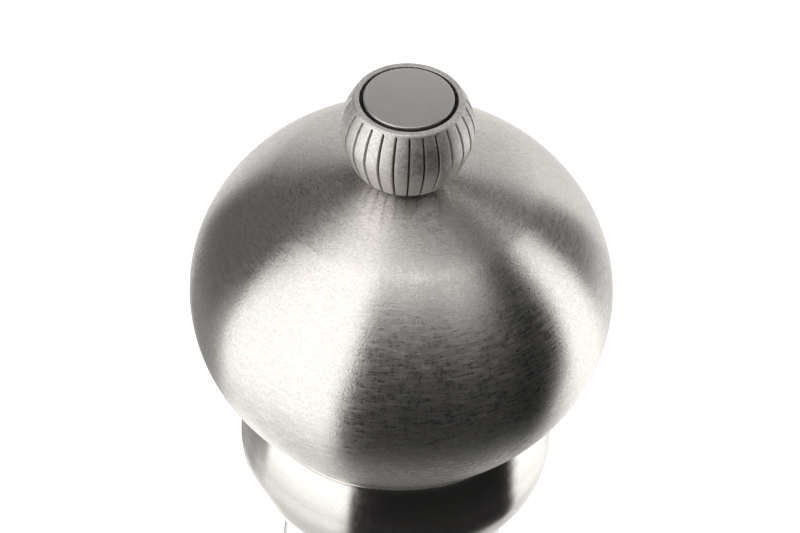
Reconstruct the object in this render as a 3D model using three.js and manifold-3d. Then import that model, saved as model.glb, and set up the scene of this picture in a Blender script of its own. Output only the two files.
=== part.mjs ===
// A turned steel nutmeg mill. The domed head turns a slotted tube, and the tube turns a claw plate that a
// spring presses on the nut, so that the nut is rasped away on a fixed disc in the foot.
// Millimetres, +Z up, origin at the middle of the underside.
import * as THREE from "three";
import { mergeVertices } from "three/addons/utils/BufferGeometryUtils.js";
import Module from "manifold-3d";

const wasm = await Module();
wasm.setup();

// Clearances
const SEAT_GAP = 0.05; // flat faces that bear on each other
const FIT_GAP = 0.3; // round pieces pushed into each other
const RUNNING_GAP = 0.15; // round pieces that turn or slide in each other
const TIP_GAP = 0.8; // at the ends of the pusher's travel
const PUSHER_MARGIN = 1; // between the pusher and the chamber's wall

// Sheet, edges and screws
const SHELL_WALL = 1.2;
const SHEET = 1;
const EDGE = 0.5;
const OVERCUT = 1; // how far a cutting shape runs past what it cuts

// Screws, in radii of their shank
const HEAD_SHARE = 1.85;
const PAN_RIM_SHARE = 0.6; // height of a pan head's rim, and width and length of its tip
const PAN_CROWN_SHARE = 1.3;
const SLOT_DEPTH_SHARE = 0.6;
const SLOT_WIDTH_SHARE = 0.5;

// Nut chamber
const CHAMBER_RADIUS = 13;
const SLEEVE_WALL = 1;
const SLEEVE_LIP = 1.5;
const SLEEVE_FLANGE_WIDTH = 1.7;
const SLEEVE_FLANGE_THICKNESS = 1.2;

// Grating disc and what clamps it
const DISC_THICKNESS = 0.8;
const DISC_RIM = 4; // width of the clamped rim, outside the chamber
const TOOTH_HEIGHT = 0.8;
const TOOTH_LIP = 0.45;
const TOOTH_HOLE_RADIUS = 0.95;
const TOOTH_EDGE_OUTER_SHARE = 0.8; // radii of a tooth's cutting edge, in radii of its hole
const TOOTH_EDGE_INNER_SHARE = 0.55;
const TOOTH_RINGS = 3;
const TOOTH_MARGIN = 3.4; // from the chamber's wall to the outer ring of teeth
const TOOTH_RING_SPACING = 3.7;
const TOOTH_PITCH = 4.7; // along a ring
const TOOTH_RING_TWIST = 0.35;
const CLAMP_THICKNESS = 1.5;
const CLAMP_SCREW_RADIUS = 0.8;
const CLAMP_SCREW_LENGTH = 4.6;

// Foot
const FOOT_HEIGHT = 9.6;
const FOOT_BULGE = 1.5; // how far the foot stands out past the body's lower edge
const FOOT_TUCK = 1.6; // how far its underside is drawn in again
const FOOT_BELLY_SHARE = 0.6; // how high its fullest part pulls, in foot heights
const LEDGE_HEIGHT = 7.2; // where the grating disc lies
const LEDGE_WIDTH = 3.5;
const OUTLET_FLARE = 4.6; // how much wider the outlet is at the underside
const OUTLET_STRAIGHT = 1.7;
const SPIGOT_HEIGHT = 4.4;
const SPIGOT_WALL = 2.3;
const SEAL_SECTION_RADIUS = 0.75;
const SEAL_HEIGHT = 2.4; // above the foot's upper edge

// Claws and pusher
const CLAW_LENGTH = 4.5;
const CLAW_WIDTH = 3.2;
const CLAW_COUNT = 6;
const CLAW_TAPER_SHARE = 0.8; // width over full width at the claw's shoulder
const CLAW_SHOULDER_SHARE = 0.25; // where the shoulder lies, in claw lengths
const CLAW_PLATE_RADIUS = 10.6;
const CLAW_SCREW_RADIUS = 1.2;
const CLAW_SCREW_LENGTH = 6;
const PUSHER_THICKNESS = 3;
const PUSHER_BOSS_HEIGHT = 1.5;
const PUSHER_BOSS_RADIUS = 5;
const PUSHER_TRAVEL = 22;
const STEM_RADIUS = 2.5;
const STEM_ENGAGEMENT = 14; // stem inside the tube at rest
const PIN_RADIUS = 1;
const PIN_BELOW_STEM_TOP = 2.5;

// Spring
const SPRING_TURNS = 9;
const SPRING_WIRE = 0.9;
const SPRING_END_PITCH = 1.4;
const SPRING_SOLID_SHARE = 1.25; // fully pressed length over wire times turns
const SPRING_STEPS = 8;
const SPRING_SIDES = 5;

// Drive tube and its bearing
const TUBE_WALL = 1.85;
const TUBE_FLANGE_WIDTH = 2.6;
const TUBE_FLANGE_THICKNESS = 1.5;
const CLIP_THICKNESS = 0.8;
const CLIP_DEPTH = 0.6;
const CLIP_WIDTH = 1.9;
const CLIP_OPENING = 2.6;
const WASHER_THICKNESS = 0.5;
const BUSH_WALL = 1.4;
const BUSH_FLANGE_WIDTH = 1.4;
const BUSH_FLANGE_THICKNESS = 1;
const BRIDGE_THICKNESS = 3;
const BRIDGE_SPOKES = 3;
const BRIDGE_SPOKE_WIDTH = 4.5;
const BRIDGE_HUB_WALL = 2.4;
const BRIDGE_RIM_WIDTH = 4.6;
const BRIDGE_SCREW_RADIUS = 1;

// Body outline, measured out from the seam's radius and down from the seam
const SEAM_RADIUS = 20;
const BEAD_SWELL = 0.75;
const BEAD_DROP = 1.5;
const COVE_DEPTH = 0.25;
const COVE_DROP = 3.7;
const SHOULDER_SWELL = 1.8;
const SHOULDER_DROP = 10.25;
const SHOULDER_END_SWELL = 0.6;
const SHOULDER_END_DROP = 14.05;

// Body outline between waist and ends: [share of the way out to the end, height over the waist's height]
const WAIST_HEIGHT_SHARE = 0.614;
const LOWER_SWEEP_SHARES = [0.5, 0.34];
const UPPER_SWEEP_SHARES = [0.12, 0.67];
const NECKING_SWEEP_SHARES = [0.117, 1.184];
const BASE_FLARE = 7; // how much wider the lower edge is than the waist
const BASE_BEAD = 0.35;
const BASE_BEAD_HEIGHT = 1.9;
const COLLAR_WEB = 1.6;

// Head
const HEAD_RADIUS = 28;
const CROWN_SHARE = 0.83; // half height over radius, above the widest line
const UNDERSIDE_SHARE = 0.86; // the same below it
const HEAD_LIP_DROP = 0.6;
const CROWN_END_SHARE = 0.62; // where the dome turns into the neck's flare, in radii
const NECK_RADIUS = 4.1;
const NECK_RISE = 3.75;
const FLARE_PULL_SHARE = 0.13; // how far the dome's slope carries into the flare, in head radii
const FLARE_FOOT_SHARE = 0.2; // the same for the flare's flat stretch
const FLARE_FOOT_DROP_SHARE = 0.18; // its place under the neck, in neck rises
const GLIDE_THICKNESS = 0.5;
const GLIDE_WALL = 1.6;
const GLIDE_DEPTH = 5;
const PLATE_FLANGE = 0.8;
const PLATE_REGISTER = 2;
const PLATE_SPIGOT_WALL = 2;
const DRIVE_SQUARE = 9.6;
const DRIVE_SQUARE_HEIGHT = 6;
const HUB_WALL = 3;

// Knob
const STUD_RADIUS = 2.5;
const STUD_IN_KNOB = 6.6;
const KNOB_RADIUS = 8.35;
const KNOB_HEIGHT = 10.8;
const KNOB_RIM_WIDTH = 0.62; // round the cap's recess
const KNOB_RIM_ROUNDING = 0.3;
const KNOB_BASE_RADIUS = 5.7;
const KNOB_LOWER_SHARES = [0.84, 0.12]; // points of its side, in knob radii and knob heights
const KNOB_BELLY_SHARES = [1, 0.51];
const KNOB_UPPER_SHARES = [0.95, 0.77];
const KNOB_RIM_SHARE = 0.96;
const KNOB_WASHER_RADIUS = 4.4;
const FLUTE_COUNT = 27;
const FLUTE_DEPTH = 0.4;
const FLUTE_WIDTH = 0.42;
const FLUTE_PHASE = THREE.MathUtils.degToRad(2.4 - 90);
const FLUTE_TOP_SHARE = 0.86; // where the grooves run out, in knob heights
const FLUTE_RUN_OUT_SHARE = 0.08;
const CAP_RADIUS = 5.63;
const CAP_RECESS_DEPTH = 1.3;
const CAP_PROUD = 0.2;
const CAP_EDGE = 0.12;
const GASKET_WIDTH = 0.35;
const GASKET_BELOW_RIM = 0.3;

// Fineness of the round shapes
const SHELL_SIDES = 36;
const INNER_SIDES = 24;
const SMALL_SIDES = 8;
const FULL_TURN = 2 * Math.PI;

// Finishes

const finish = (color, roughness, metalness) =>
  new THREE.MeshStandardMaterial({ color, roughness, metalness });
const brushedSteel = finish(0xb9b6b0, 0.32, 1);
const satinSteel = finish(0xb4b3ad, 0.48, 1);
const capSteel = finish(0x9b9996, 0.42, 1);
const plainSteel = finish(0xa6a8aa, 0.3, 1);
const bladeSteel = finish(0xc2c4c6, 0.22, 1);
const springSteel = finish(0x8d8f92, 0.35, 1);
const blackRubber = finish(0x141414, 0.8, 0);
const darkPlastic = finish(0x25262a, 0.55, 0);
const paleNylon = finish(0xdcd8cc, 0.5, 0);
const brass = finish(0xb08d4a, 0.35, 1);

// Joining and cutting

/** A closed geometry as a solid. */
function solidOf(geometry) {
  const plain = geometry.clone();
  plain.deleteAttribute("normal");
  plain.deleteAttribute("uv");
  const merged = mergeVertices(plain, 1e-4);
  return new wasm.Manifold(
    new wasm.Mesh({
      numProp: 3,
      vertProperties: merged.attributes.position.array,
      triVerts: new Uint32Array(merged.index.array),
    }),
  );
}

/** A solid as a geometry. */
function geometryOf(solid) {
  const { vertProperties, triVerts } = solid.getMesh();
  return new THREE.BufferGeometry()
    .setAttribute("position", new THREE.BufferAttribute(vertProperties, 3))
    .setIndex(new THREE.BufferAttribute(triVerts, 1));
}

const cut = (geometry, ...tools) =>
  geometryOf(tools.reduce((whole, tool) => whole.subtract(solidOf(tool)), solidOf(geometry)));

const join = (geometry, ...more) =>
  geometryOf(more.reduce((whole, piece) => whole.add(solidOf(piece)), solidOf(geometry)));

// Shapes

/** A solid of revolution about Z. Its outline ends on the axis or closes on itself. */
function turned(outline, sides = INNER_SIDES) {
  const points = outline.map((p) => (Array.isArray(p) ? new THREE.Vector2(...p) : p.clone()));
  if (THREE.ShapeUtils.area(points) < 0) points.reverse();
  const onAxis = points[0].x === 0 && points[points.length - 1].x === 0;
  if (!onAxis) points.push(points[0].clone());
  return new THREE.LatheGeometry(points, sides).rotateX(Math.PI / 2);
}

const ring = (inner, outer, bottom, top, sides = INNER_SIDES) =>
  turned([[inner, bottom], [outer, bottom], [outer, top], [inner, top]], sides);

const rod = (radius, bottom, top, sides = SMALL_SIDES) =>
  new THREE.CylinderGeometry(radius, radius, top - bottom, sides)
    .rotateX(Math.PI / 2)
    .translate(0, 0, (bottom + top) / 2);

const block = (x, y, bottom, top) =>
  new THREE.BoxGeometry(x, y, top - bottom).translate(0, 0, (bottom + top) / 2);

/** Copies of a geometry at equal angles round the axis, moved out to a radius. */
const around = (geometry, count, radius, phase = 0) =>
  Array.from({ length: count }, (_, i) =>
    geometry.clone().translate(radius, 0, 0).rotateZ(phase + (i * FULL_TURN) / count),
  );

/** The outline of a countersunk screw or, with a clearance, of the hole that it sinks into. */
const countersunk = (shank, top, bottom, clearance = 0, above = 0) => [
  [0, bottom],
  [shank + clearance, bottom],
  [shank + clearance, top - (HEAD_SHARE - 1) * shank],
  [HEAD_SHARE * shank + clearance, top],
  [HEAD_SHARE * shank + clearance, top + above],
  [0, top + above],
];

/** A slotted countersunk screw with its tip down. */
function countersunkScrew(shank, top, length) {
  const outline = countersunk(shank, top, top - length).slice(0, 4);
  const across = 2 * (HEAD_SHARE * shank + OVERCUT);
  const slot = block(across, SLOT_WIDTH_SHARE * shank, top - SLOT_DEPTH_SHARE * shank, top + OVERCUT);
  return cut(turned([...outline, [0, top]], SMALL_SIDES), slot);
}

/** A cross-headed pan screw with its tip down. */
function panScrew(shank, seat, length) {
  const head = HEAD_SHARE * shank;
  const rim = PAN_RIM_SHARE * shank;
  const crown = seat + PAN_CROWN_SHARE * shank;
  const tip = seat - length;
  const body = turned(
    [
      [0, tip],
      [rim, tip],
      [shank, tip + rim],
      [shank, seat],
      [head, seat],
      [head, seat + rim],
      [head - rim, crown],
      [0, crown],
    ],
    SMALL_SIDES,
  );
  const slotFloor = crown - SLOT_DEPTH_SHARE * shank;
  const slot = block(head + shank, SLOT_WIDTH_SHARE * shank, slotFloor, crown + OVERCUT);
  return cut(body, slot, slot.clone().rotateZ(Math.PI / 2));
}

/** An outline moved inwards by a wall. */
function inset(points, wall) {
  return points.map((p, i) => {
    const before = points[Math.max(i - 1, 0)];
    const after = points[Math.min(i + 1, points.length - 1)];
    const along = after.clone().sub(before).normalize();
    return new THREE.Vector2(p.x - along.y * wall, p.y + along.x * wall);
  });
}

/** The radius of an outline at a height. */
function radiusAt(points, height) {
  const i = points.findIndex((p, k) => k > 0 && (height - points[k - 1].y) * (height - p.y) <= 0);
  const [a, b] = [points[i - 1], points[i]];
  return THREE.MathUtils.mapLinear(height, a.y, b.y, a.x, b.x);
}

// Heights of the mechanism, from the foot up

const discTop = LEDGE_HEIGHT + DISC_THICKNESS;
const clampBottom = discTop + SEAT_GAP;
const clampTop = clampBottom + CLAMP_THICKNESS;
const toothTop = discTop + TOOTH_HEIGHT;
const clawPlateBottom = toothTop + TIP_GAP + CLAW_LENGTH;
const clawPlateTop = clawPlateBottom + SHEET;
const pusherBottom = clawPlateTop + SEAT_GAP;
const pusherTop = pusherBottom + PUSHER_THICKNESS;
const bossTop = pusherTop + PUSHER_BOSS_HEIGHT;
const tubeBottom = bossTop + PUSHER_TRAVEL + TIP_GAP;
const stemTop = tubeBottom + STEM_ENGAGEMENT;
const pinZ = stemTop - PIN_BELOW_STEM_TOP;
const springBottom = pusherTop + SEAT_GAP;
const springTop = springBottom + PUSHER_TRAVEL + SPRING_TURNS * SPRING_WIRE * SPRING_SOLID_SHARE;
const seatBottom = springTop + SEAT_GAP;
const clipBottom = seatBottom + SHEET + SEAT_GAP;
const clipTop = clipBottom + CLIP_THICKNESS;
const washerBottom = clipTop + SEAT_GAP;
const washerTop = washerBottom + WASHER_THICKNESS;
const bushBottom = washerTop + SEAT_GAP;
const bridgeBottom = bushBottom + BUSH_FLANGE_THICKNESS + SEAT_GAP;
const bridgeTop = bridgeBottom + BRIDGE_THICKNESS;
const bushTop = bridgeTop + SEAT_GAP;
const boreTop = stemTop + PUSHER_TRAVEL + TIP_GAP;

// Heights of the head, which sits where the tube's bore ends

const plateBottom = boreTop;
const plateFlangeTop = plateBottom + PLATE_FLANGE;
const collarTop = plateBottom - SEAT_GAP;
const glideTop = plateBottom - SEAT_GAP;
const seamZ = glideTop - GLIDE_THICKNESS - SEAT_GAP;
const squareTop = collarTop + DRIVE_SQUARE_HEIGHT;
const lipZ = plateFlangeTop + SEAT_GAP;
const underside = HEAD_RADIUS * UNDERSIDE_SHARE;
const widestZ = lipZ + HEAD_LIP_DROP + underside * Math.sqrt(1 - (SEAM_RADIUS / HEAD_RADIUS) ** 2);
const crownRise = HEAD_RADIUS * CROWN_SHARE;
const neckTop = widestZ + crownRise * Math.sqrt(1 - CROWN_END_SHARE ** 2) + NECK_RISE;
const knobWasherBottom = neckTop + SEAT_GAP;
const knobBottom = knobWasherBottom + SEAT_GAP;
const knobTop = knobBottom + KNOB_HEIGHT;
const studTop = knobBottom + STUD_IN_KNOB;

// Radii, from the axis out

const tubeBore = STEM_RADIUS + RUNNING_GAP;
const tubeRadius = tubeBore + TUBE_WALL;
const tubeFlange = tubeRadius + TUBE_FLANGE_WIDTH;
const bushBore = tubeRadius + RUNNING_GAP;
const bushRadius = bushBore + BUSH_WALL;
const springRadius = PUSHER_BOSS_RADIUS + FIT_GAP + SPRING_WIRE / 2; // to the middle of the wire
const pusherRadius = CHAMBER_RADIUS - PUSHER_MARGIN;
const sleeveRadius = CHAMBER_RADIUS + SLEEVE_WALL;
const discRadius = CHAMBER_RADIUS + DISC_RIM;
const outletRadius = discRadius - LEDGE_WIDTH;
const recessRadius = discRadius + FIT_GAP;
const spigotRadius = recessRadius + SPIGOT_WALL;
const collarBore = spigotRadius + FIT_GAP;
const waistRadius = sleeveRadius + 2 * FIT_GAP + SHELL_WALL;
const baseRadius = waistRadius + BASE_FLARE + FIT_GAP;
const mouthRadius = SEAM_RADIUS - SHELL_WALL; // inside the body's mouth and the head's lip
const coveRadius = SEAM_RADIUS - COVE_DEPTH;
const shoulderRadius = SEAM_RADIUS + SHOULDER_SWELL;
const glideRadius = Math.min(mouthRadius, coveRadius - SHELL_WALL) - FIT_GAP;
const glideBore = glideRadius - GLIDE_WALL;
const gasketBore = CAP_RADIUS + SEAT_GAP;
const gasketRadius = gasketBore + GASKET_WIDTH;
const capRecessRadius = gasketRadius + SEAT_GAP;
const knobRimRadius = capRecessRadius + KNOB_RIM_WIDTH;

// Outlines of the shells

const bodyBottom = FOOT_HEIGHT + SEAT_GAP;

/** The body's outer outline, from its lower edge up to the seam under the head. */
function bodyOutline(steps) {
  const rise = (share) => THREE.MathUtils.lerp(bodyBottom, seamZ, share);
  const sweep = (end, [share, height]) => [
    THREE.MathUtils.lerp(waistRadius, end, share),
    rise(WAIST_HEIGHT_SHARE * height),
  ];
  const knots = [
    [baseRadius, bodyBottom],
    [baseRadius + BASE_BEAD, bodyBottom + BASE_BEAD_HEIGHT],
    sweep(baseRadius, LOWER_SWEEP_SHARES),
    sweep(baseRadius, UPPER_SWEEP_SHARES),
    [waistRadius, rise(WAIST_HEIGHT_SHARE)],
    sweep(shoulderRadius, NECKING_SWEEP_SHARES),
    [SEAM_RADIUS + SHOULDER_END_SWELL, seamZ - SHOULDER_END_DROP],
    [shoulderRadius, seamZ - SHOULDER_DROP],
    [coveRadius, seamZ - COVE_DROP],
    [SEAM_RADIUS + BEAD_SWELL, seamZ - BEAD_DROP],
    [SEAM_RADIUS, seamZ],
  ];
  return new THREE.SplineCurve(knots.map((p) => new THREE.Vector2(...p))).getPoints(steps);
}

/** The head's outer outline, from its lip over the widest line up to the neck. */
function headOutline(domeSteps, flareSteps) {
  const lipAngle = -Math.acos(SEAM_RADIUS / HEAD_RADIUS);
  const endAngle = Math.acos(CROWN_END_SHARE);
  const dome = Array.from({ length: domeSteps + 1 }, (_, i) => {
    const angle = THREE.MathUtils.lerp(lipAngle, endAngle, i / domeSteps);
    const half = angle < 0 ? underside : crownRise;
    return new THREE.Vector2(HEAD_RADIUS * Math.cos(angle), widestZ + half * Math.sin(angle));
  });
  const end = dome[domeSteps];
  const slope = new THREE.Vector2(-HEAD_RADIUS * Math.sin(endAngle), crownRise * Math.cos(endAngle));
  const flare = new THREE.CubicBezierCurve(
    end,
    end.clone().addScaledVector(slope.normalize(), FLARE_PULL_SHARE * HEAD_RADIUS),
    new THREE.Vector2(FLARE_FOOT_SHARE * HEAD_RADIUS, neckTop - FLARE_FOOT_DROP_SHARE * NECK_RISE),
    new THREE.Vector2(NECK_RADIUS, neckTop),
  );
  return [new THREE.Vector2(SEAM_RADIUS, lipZ), ...dome, ...flare.getPoints(flareSteps).slice(1)];
}

const bodyInside = inset(bodyOutline(10), SHELL_WALL);

// Assemblies

const mill = new THREE.Group();
const [foot, body, head, pusher, knob] = Array.from({ length: 5 }, () => new THREE.Group());
mill.add(foot, body, head, pusher, knob);

/** Adds a named piece to an assembly. */
function addPiece(assembly, name, geometry, material) {
  const mesh = new THREE.Mesh(geometry, material.clone());
  mesh.name = name;
  assembly.add(mesh);
}

// Foot: ring, grating disc, clamp ring with its screws, and the rubber seal that holds it in the body

const clampScrewCircle = CHAMBER_RADIUS + DISC_RIM / 2;
const atClampScrews = (geometry) => around(geometry, 3, clampScrewCircle, Math.PI / 2);
const sealRadius = SEAL_SECTION_RADIUS - SEAT_GAP / 2;
const sealMiddle = collarBore - SEAT_GAP - sealRadius;

function footRing() {
  const spigotTop = FOOT_HEIGHT + SPIGOT_HEIGHT;
  const sealZ = FOOT_HEIGHT + SEAL_HEIGHT;
  const grooveHalf = SEAL_SECTION_RADIUS + SEAT_GAP;
  const grooveRadius = sealMiddle - sealRadius - SEAT_GAP;
  const bulge = baseRadius + FOOT_BULGE;
  const belly = new THREE.CubicBezierCurve(
    new THREE.Vector2(bulge - FOOT_TUCK, 0),
    new THREE.Vector2(bulge, 0),
    new THREE.Vector2(bulge + EDGE, FOOT_BELLY_SHARE * FOOT_HEIGHT),
    new THREE.Vector2(baseRadius, FOOT_HEIGHT),
  );
  const outline = [
    [outletRadius + OUTLET_FLARE, 0],
    ...belly.getPoints(5),
    [spigotRadius, FOOT_HEIGHT],
    [spigotRadius, sealZ - grooveHalf],
    [grooveRadius, sealZ - grooveHalf],
    [grooveRadius, sealZ + grooveHalf],
    [spigotRadius, sealZ + grooveHalf],
    [spigotRadius, spigotTop - EDGE],
    [spigotRadius - EDGE, spigotTop],
    [recessRadius, spigotTop],
    [recessRadius, LEDGE_HEIGHT - SEAT_GAP],
    [outletRadius, LEDGE_HEIGHT - SEAT_GAP],
    [outletRadius, LEDGE_HEIGHT - OUTLET_STRAIGHT],
  ];
  const holeBottom = clampTop - CLAMP_SCREW_LENGTH - FIT_GAP;
  const hole = rod(CLAMP_SCREW_RADIUS + RUNNING_GAP, holeBottom, LEDGE_HEIGHT + OVERCUT);
  return cut(turned(outline, SHELL_SIDES), ...atClampScrews(hole));
}

/** One rasp tooth: the rear half of a raised, sharp-edged hood round its hole. */
function tooth() {
  const skirt = TOOTH_HOLE_RADIUS + TOOTH_LIP;
  const root = discTop - DISC_THICKNESS / 2;
  const hood = turned(
    [
      [TOOTH_HOLE_RADIUS, root],
      [skirt, root],
      [TOOTH_EDGE_OUTER_SHARE * TOOTH_HOLE_RADIUS, toothTop],
      [TOOTH_EDGE_INNER_SHARE * TOOTH_HOLE_RADIUS, toothTop],
    ],
    SMALL_SIDES,
  );
  const side = 2 * (skirt + OVERCUT);
  const front = block(side, side, root - OVERCUT, toothTop + OVERCUT);
  return cut(hood, front.translate(0, side / 2, 0));
}

/** The fixed disc: rings of punched holes, each with its tooth facing the nut's way round. */
function gratingDisc() {
  const atTeeth = (geometry) =>
    Array.from({ length: TOOTH_RINGS }, (_, i) => {
      const radius = CHAMBER_RADIUS - TOOTH_MARGIN - i * TOOTH_RING_SPACING;
      const count = Math.round((FULL_TURN * radius) / TOOTH_PITCH);
      return around(geometry, count, radius, i * TOOTH_RING_TWIST);
    }).flat();
  const [below, above] = [LEDGE_HEIGHT - OVERCUT, discTop + OVERCUT];
  const hole = rod(TOOTH_HOLE_RADIUS, below, above);
  const screwHole = rod(CLAMP_SCREW_RADIUS + RUNNING_GAP, below, above);
  const plate = rod(discRadius, LEDGE_HEIGHT, discTop, INNER_SIDES);
  return join(cut(plate, ...atTeeth(hole), ...atClampScrews(screwHole)), ...atTeeth(tooth()));
}

function clampRing() {
  const below = clampBottom - OVERCUT;
  const sink = countersunk(CLAMP_SCREW_RADIUS, clampTop, below, RUNNING_GAP, OVERCUT);
  const inner = CHAMBER_RADIUS + FIT_GAP;
  return cut(
    ring(inner, discRadius, clampBottom, clampTop),
    ...atClampScrews(turned(sink, SMALL_SIDES)),
  );
}

const footSeal = new THREE.TorusGeometry(sealMiddle, sealRadius, 5, SHELL_SIDES).translate(
  0,
  0,
  FOOT_HEIGHT + SEAL_HEIGHT,
);
const clampScrew = countersunkScrew(CLAMP_SCREW_RADIUS, clampTop, CLAMP_SCREW_LENGTH);

addPiece(foot, "foot_ring", footRing(), brushedSteel);
addPiece(foot, "grating_disc", gratingDisc(), bladeSteel);
addPiece(foot, "disc_clamp_ring", clampRing(), plainSteel);
addPiece(foot, "foot_seal", footSeal, blackRubber);
atClampScrews(clampScrew).forEach((screw, i) =>
  addPiece(foot, `clamp_screw_${i + 1}`, screw, plainSteel),
);

// Body: shell, lower collar, nut sleeve, bridge with its bush and screws, glide ring

const webBottom = FOOT_HEIGHT + SPIGOT_HEIGHT + FIT_GAP;
const webTop = webBottom + COLLAR_WEB;
const sleeveTop = bridgeBottom - SEAT_GAP;
const bridgeBore = sleeveRadius - BRIDGE_RIM_WIDTH;
const bridgeScrewCircle = sleeveRadius - BRIDGE_RIM_WIDTH / 2;
const atBridgeScrews = (geometry) => around(geometry, 3, bridgeScrewCircle, Math.PI / 2);

function bodyShell() {
  return turned([...bodyOutline(20), ...bodyInside.toReversed()], SHELL_SIDES);
}

/** Joins the sleeve to the shell, and takes the foot's spigot. Its side follows the shell. */
function lowerCollar() {
  const bottom = bodyBottom + FIT_GAP;
  const steps = 3;
  const side = Array.from({ length: steps + 1 }, (_, i) => {
    const z = THREE.MathUtils.lerp(bottom, webTop, i / steps);
    return [radiusAt(bodyInside, z) - FIT_GAP, z];
  });
  const webBore = sleeveRadius + FIT_GAP;
  return turned(
    [[collarBore, bottom], ...side, [webBore, webTop], [webBore, webBottom], [collarBore, webBottom]],
    SHELL_SIDES,
  );
}

/** The nut's chamber: a flange under the collar's web, and a lip on top for the bridge. */
function nutSleeve() {
  const bottom = clampTop + FIT_GAP;
  const flange = sleeveRadius + SLEEVE_FLANGE_WIDTH;
  const flangeTop = webBottom - SEAT_GAP;
  const lipBottom = sleeveTop - SLEEVE_LIP;
  const outline = [
    [CHAMBER_RADIUS, bottom],
    [sleeveRadius, bottom],
    [sleeveRadius, flangeTop - SLEEVE_FLANGE_THICKNESS],
    [flange, flangeTop - SLEEVE_FLANGE_THICKNESS],
    [flange, flangeTop],
    [sleeveRadius, flangeTop],
    [sleeveRadius, sleeveTop],
    [bridgeBore, sleeveTop],
    [bridgeBore, lipBottom],
    [CHAMBER_RADIUS, lipBottom],
  ];
  const hole = rod(BRIDGE_SCREW_RADIUS + RUNNING_GAP, lipBottom - OVERCUT, sleeveTop + OVERCUT);
  return cut(turned(outline), ...atBridgeScrews(hole));
}

/** The spoked bridge over the sleeve that carries the bush. */
function bearingBridge() {
  const hubBore = bushRadius + RUNNING_GAP;
  const reach = (hubBore + bridgeBore + BRIDGE_RIM_WIDTH / 2) / 2;
  const length = bridgeBore + BRIDGE_RIM_WIDTH / 2 - hubBore;
  const spoke = block(length, BRIDGE_SPOKE_WIDTH, bridgeBottom, bridgeTop);
  const [below, above] = [bridgeBottom - OVERCUT, bridgeTop + OVERCUT];
  const wheel = join(
    ring(bridgeBore, sleeveRadius, bridgeBottom, bridgeTop),
    ring(hubBore, hubBore + BRIDGE_HUB_WALL, bridgeBottom, bridgeTop),
    ...around(spoke, BRIDGE_SPOKES, reach, Math.PI / 2),
  );
  return cut(
    wheel,
    rod(hubBore, below, above, INNER_SIDES),
    ...atBridgeScrews(rod(BRIDGE_SCREW_RADIUS + RUNNING_GAP, below, above)),
  );
}

function shaftBush() {
  const flange = bushRadius + BUSH_FLANGE_WIDTH;
  const flangeTop = bushBottom + BUSH_FLANGE_THICKNESS;
  return turned([
    [bushBore, bushBottom],
    [flange, bushBottom],
    [flange, flangeTop],
    [bushRadius, flangeTop],
    [bushRadius, bushTop],
    [bushBore, bushTop],
  ]);
}

/** The ring in the body's mouth that the head turns on and in. */
function glideRing() {
  const bottom = seamZ - GLIDE_DEPTH;
  const flange = SEAM_RADIUS - EDGE;
  return turned(
    [
      [glideBore, bottom],
      [glideRadius - EDGE, bottom],
      [glideRadius, bottom + 2 * EDGE],
      [glideRadius, seamZ + SEAT_GAP],
      [flange, seamZ + SEAT_GAP],
      [flange, glideTop],
      [glideBore, glideTop],
    ],
    SHELL_SIDES,
  );
}

const bridgeScrewLength = BRIDGE_THICKNESS + SLEEVE_LIP;
const bridgeScrew = panScrew(BRIDGE_SCREW_RADIUS, bridgeTop + SEAT_GAP, bridgeScrewLength);

addPiece(body, "body_shell", bodyShell(), brushedSteel);
addPiece(body, "lower_collar", lowerCollar(), plainSteel);
addPiece(body, "nut_sleeve", nutSleeve(), plainSteel);
addPiece(body, "bearing_bridge", bearingBridge(), darkPlastic);
addPiece(body, "shaft_bush", shaftBush(), brass);
addPiece(body, "glide_ring", glideRing(), paleNylon);
atBridgeScrews(bridgeScrew).forEach((screw, i) =>
  addPiece(body, `bridge_screw_${i + 1}`, screw, plainSteel),
);

// Head: dome, drive plate, tube with its clip, washer and spring seat, and the spring

const neckBore = STUD_RADIUS + FIT_GAP;

/** The spun dome, open underneath, with a bored neck. */
function headShell() {
  const outside = headOutline(9, 5);
  const inside = inset(headOutline(6, 3), SHELL_WALL).filter((p) => p.x > NECK_RADIUS + SHELL_WALL);
  inside[0] = new THREE.Vector2(mouthRadius, lipZ);
  const neckInside = inside[inside.length - 1].y;
  const neck = [[neckBore, neckTop], [neckBore, neckInside]];
  return turned([...outside, ...neck, ...inside.toReversed()], SHELL_SIDES);
}

/** Closes the dome: its flange runs on the glide ring, its spigot in it, and its hub has a square hole. */
function headPlate() {
  const spigot = glideBore - RUNNING_GAP;
  const spigotBottom = seamZ - GLIDE_DEPTH + EDGE;
  const register = mouthRadius - FIT_GAP;
  const registerTop = plateFlangeTop + PLATE_REGISTER;
  const squareHole = DRIVE_SQUARE + 2 * RUNNING_GAP;
  const hub = squareHole / Math.SQRT2 + HUB_WALL;
  const hubTop = squareTop - SEAT_GAP;
  const outline = [
    [tubeRadius, plateBottom],
    [spigot - PLATE_SPIGOT_WALL, plateBottom],
    [spigot - PLATE_SPIGOT_WALL, spigotBottom],
    [spigot, spigotBottom],
    [spigot, plateBottom],
    [SEAM_RADIUS, plateBottom],
    [SEAM_RADIUS, plateFlangeTop],
    [register, plateFlangeTop],
    [register, registerTop],
    [hub, registerTop],
    [hub, hubTop],
    [tubeRadius, hubTop],
  ];
  const hole = block(squareHole, squareHole, plateBottom - OVERCUT, hubTop + OVERCUT);
  return cut(turned(outline, SHELL_SIDES), hole);
}

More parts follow.
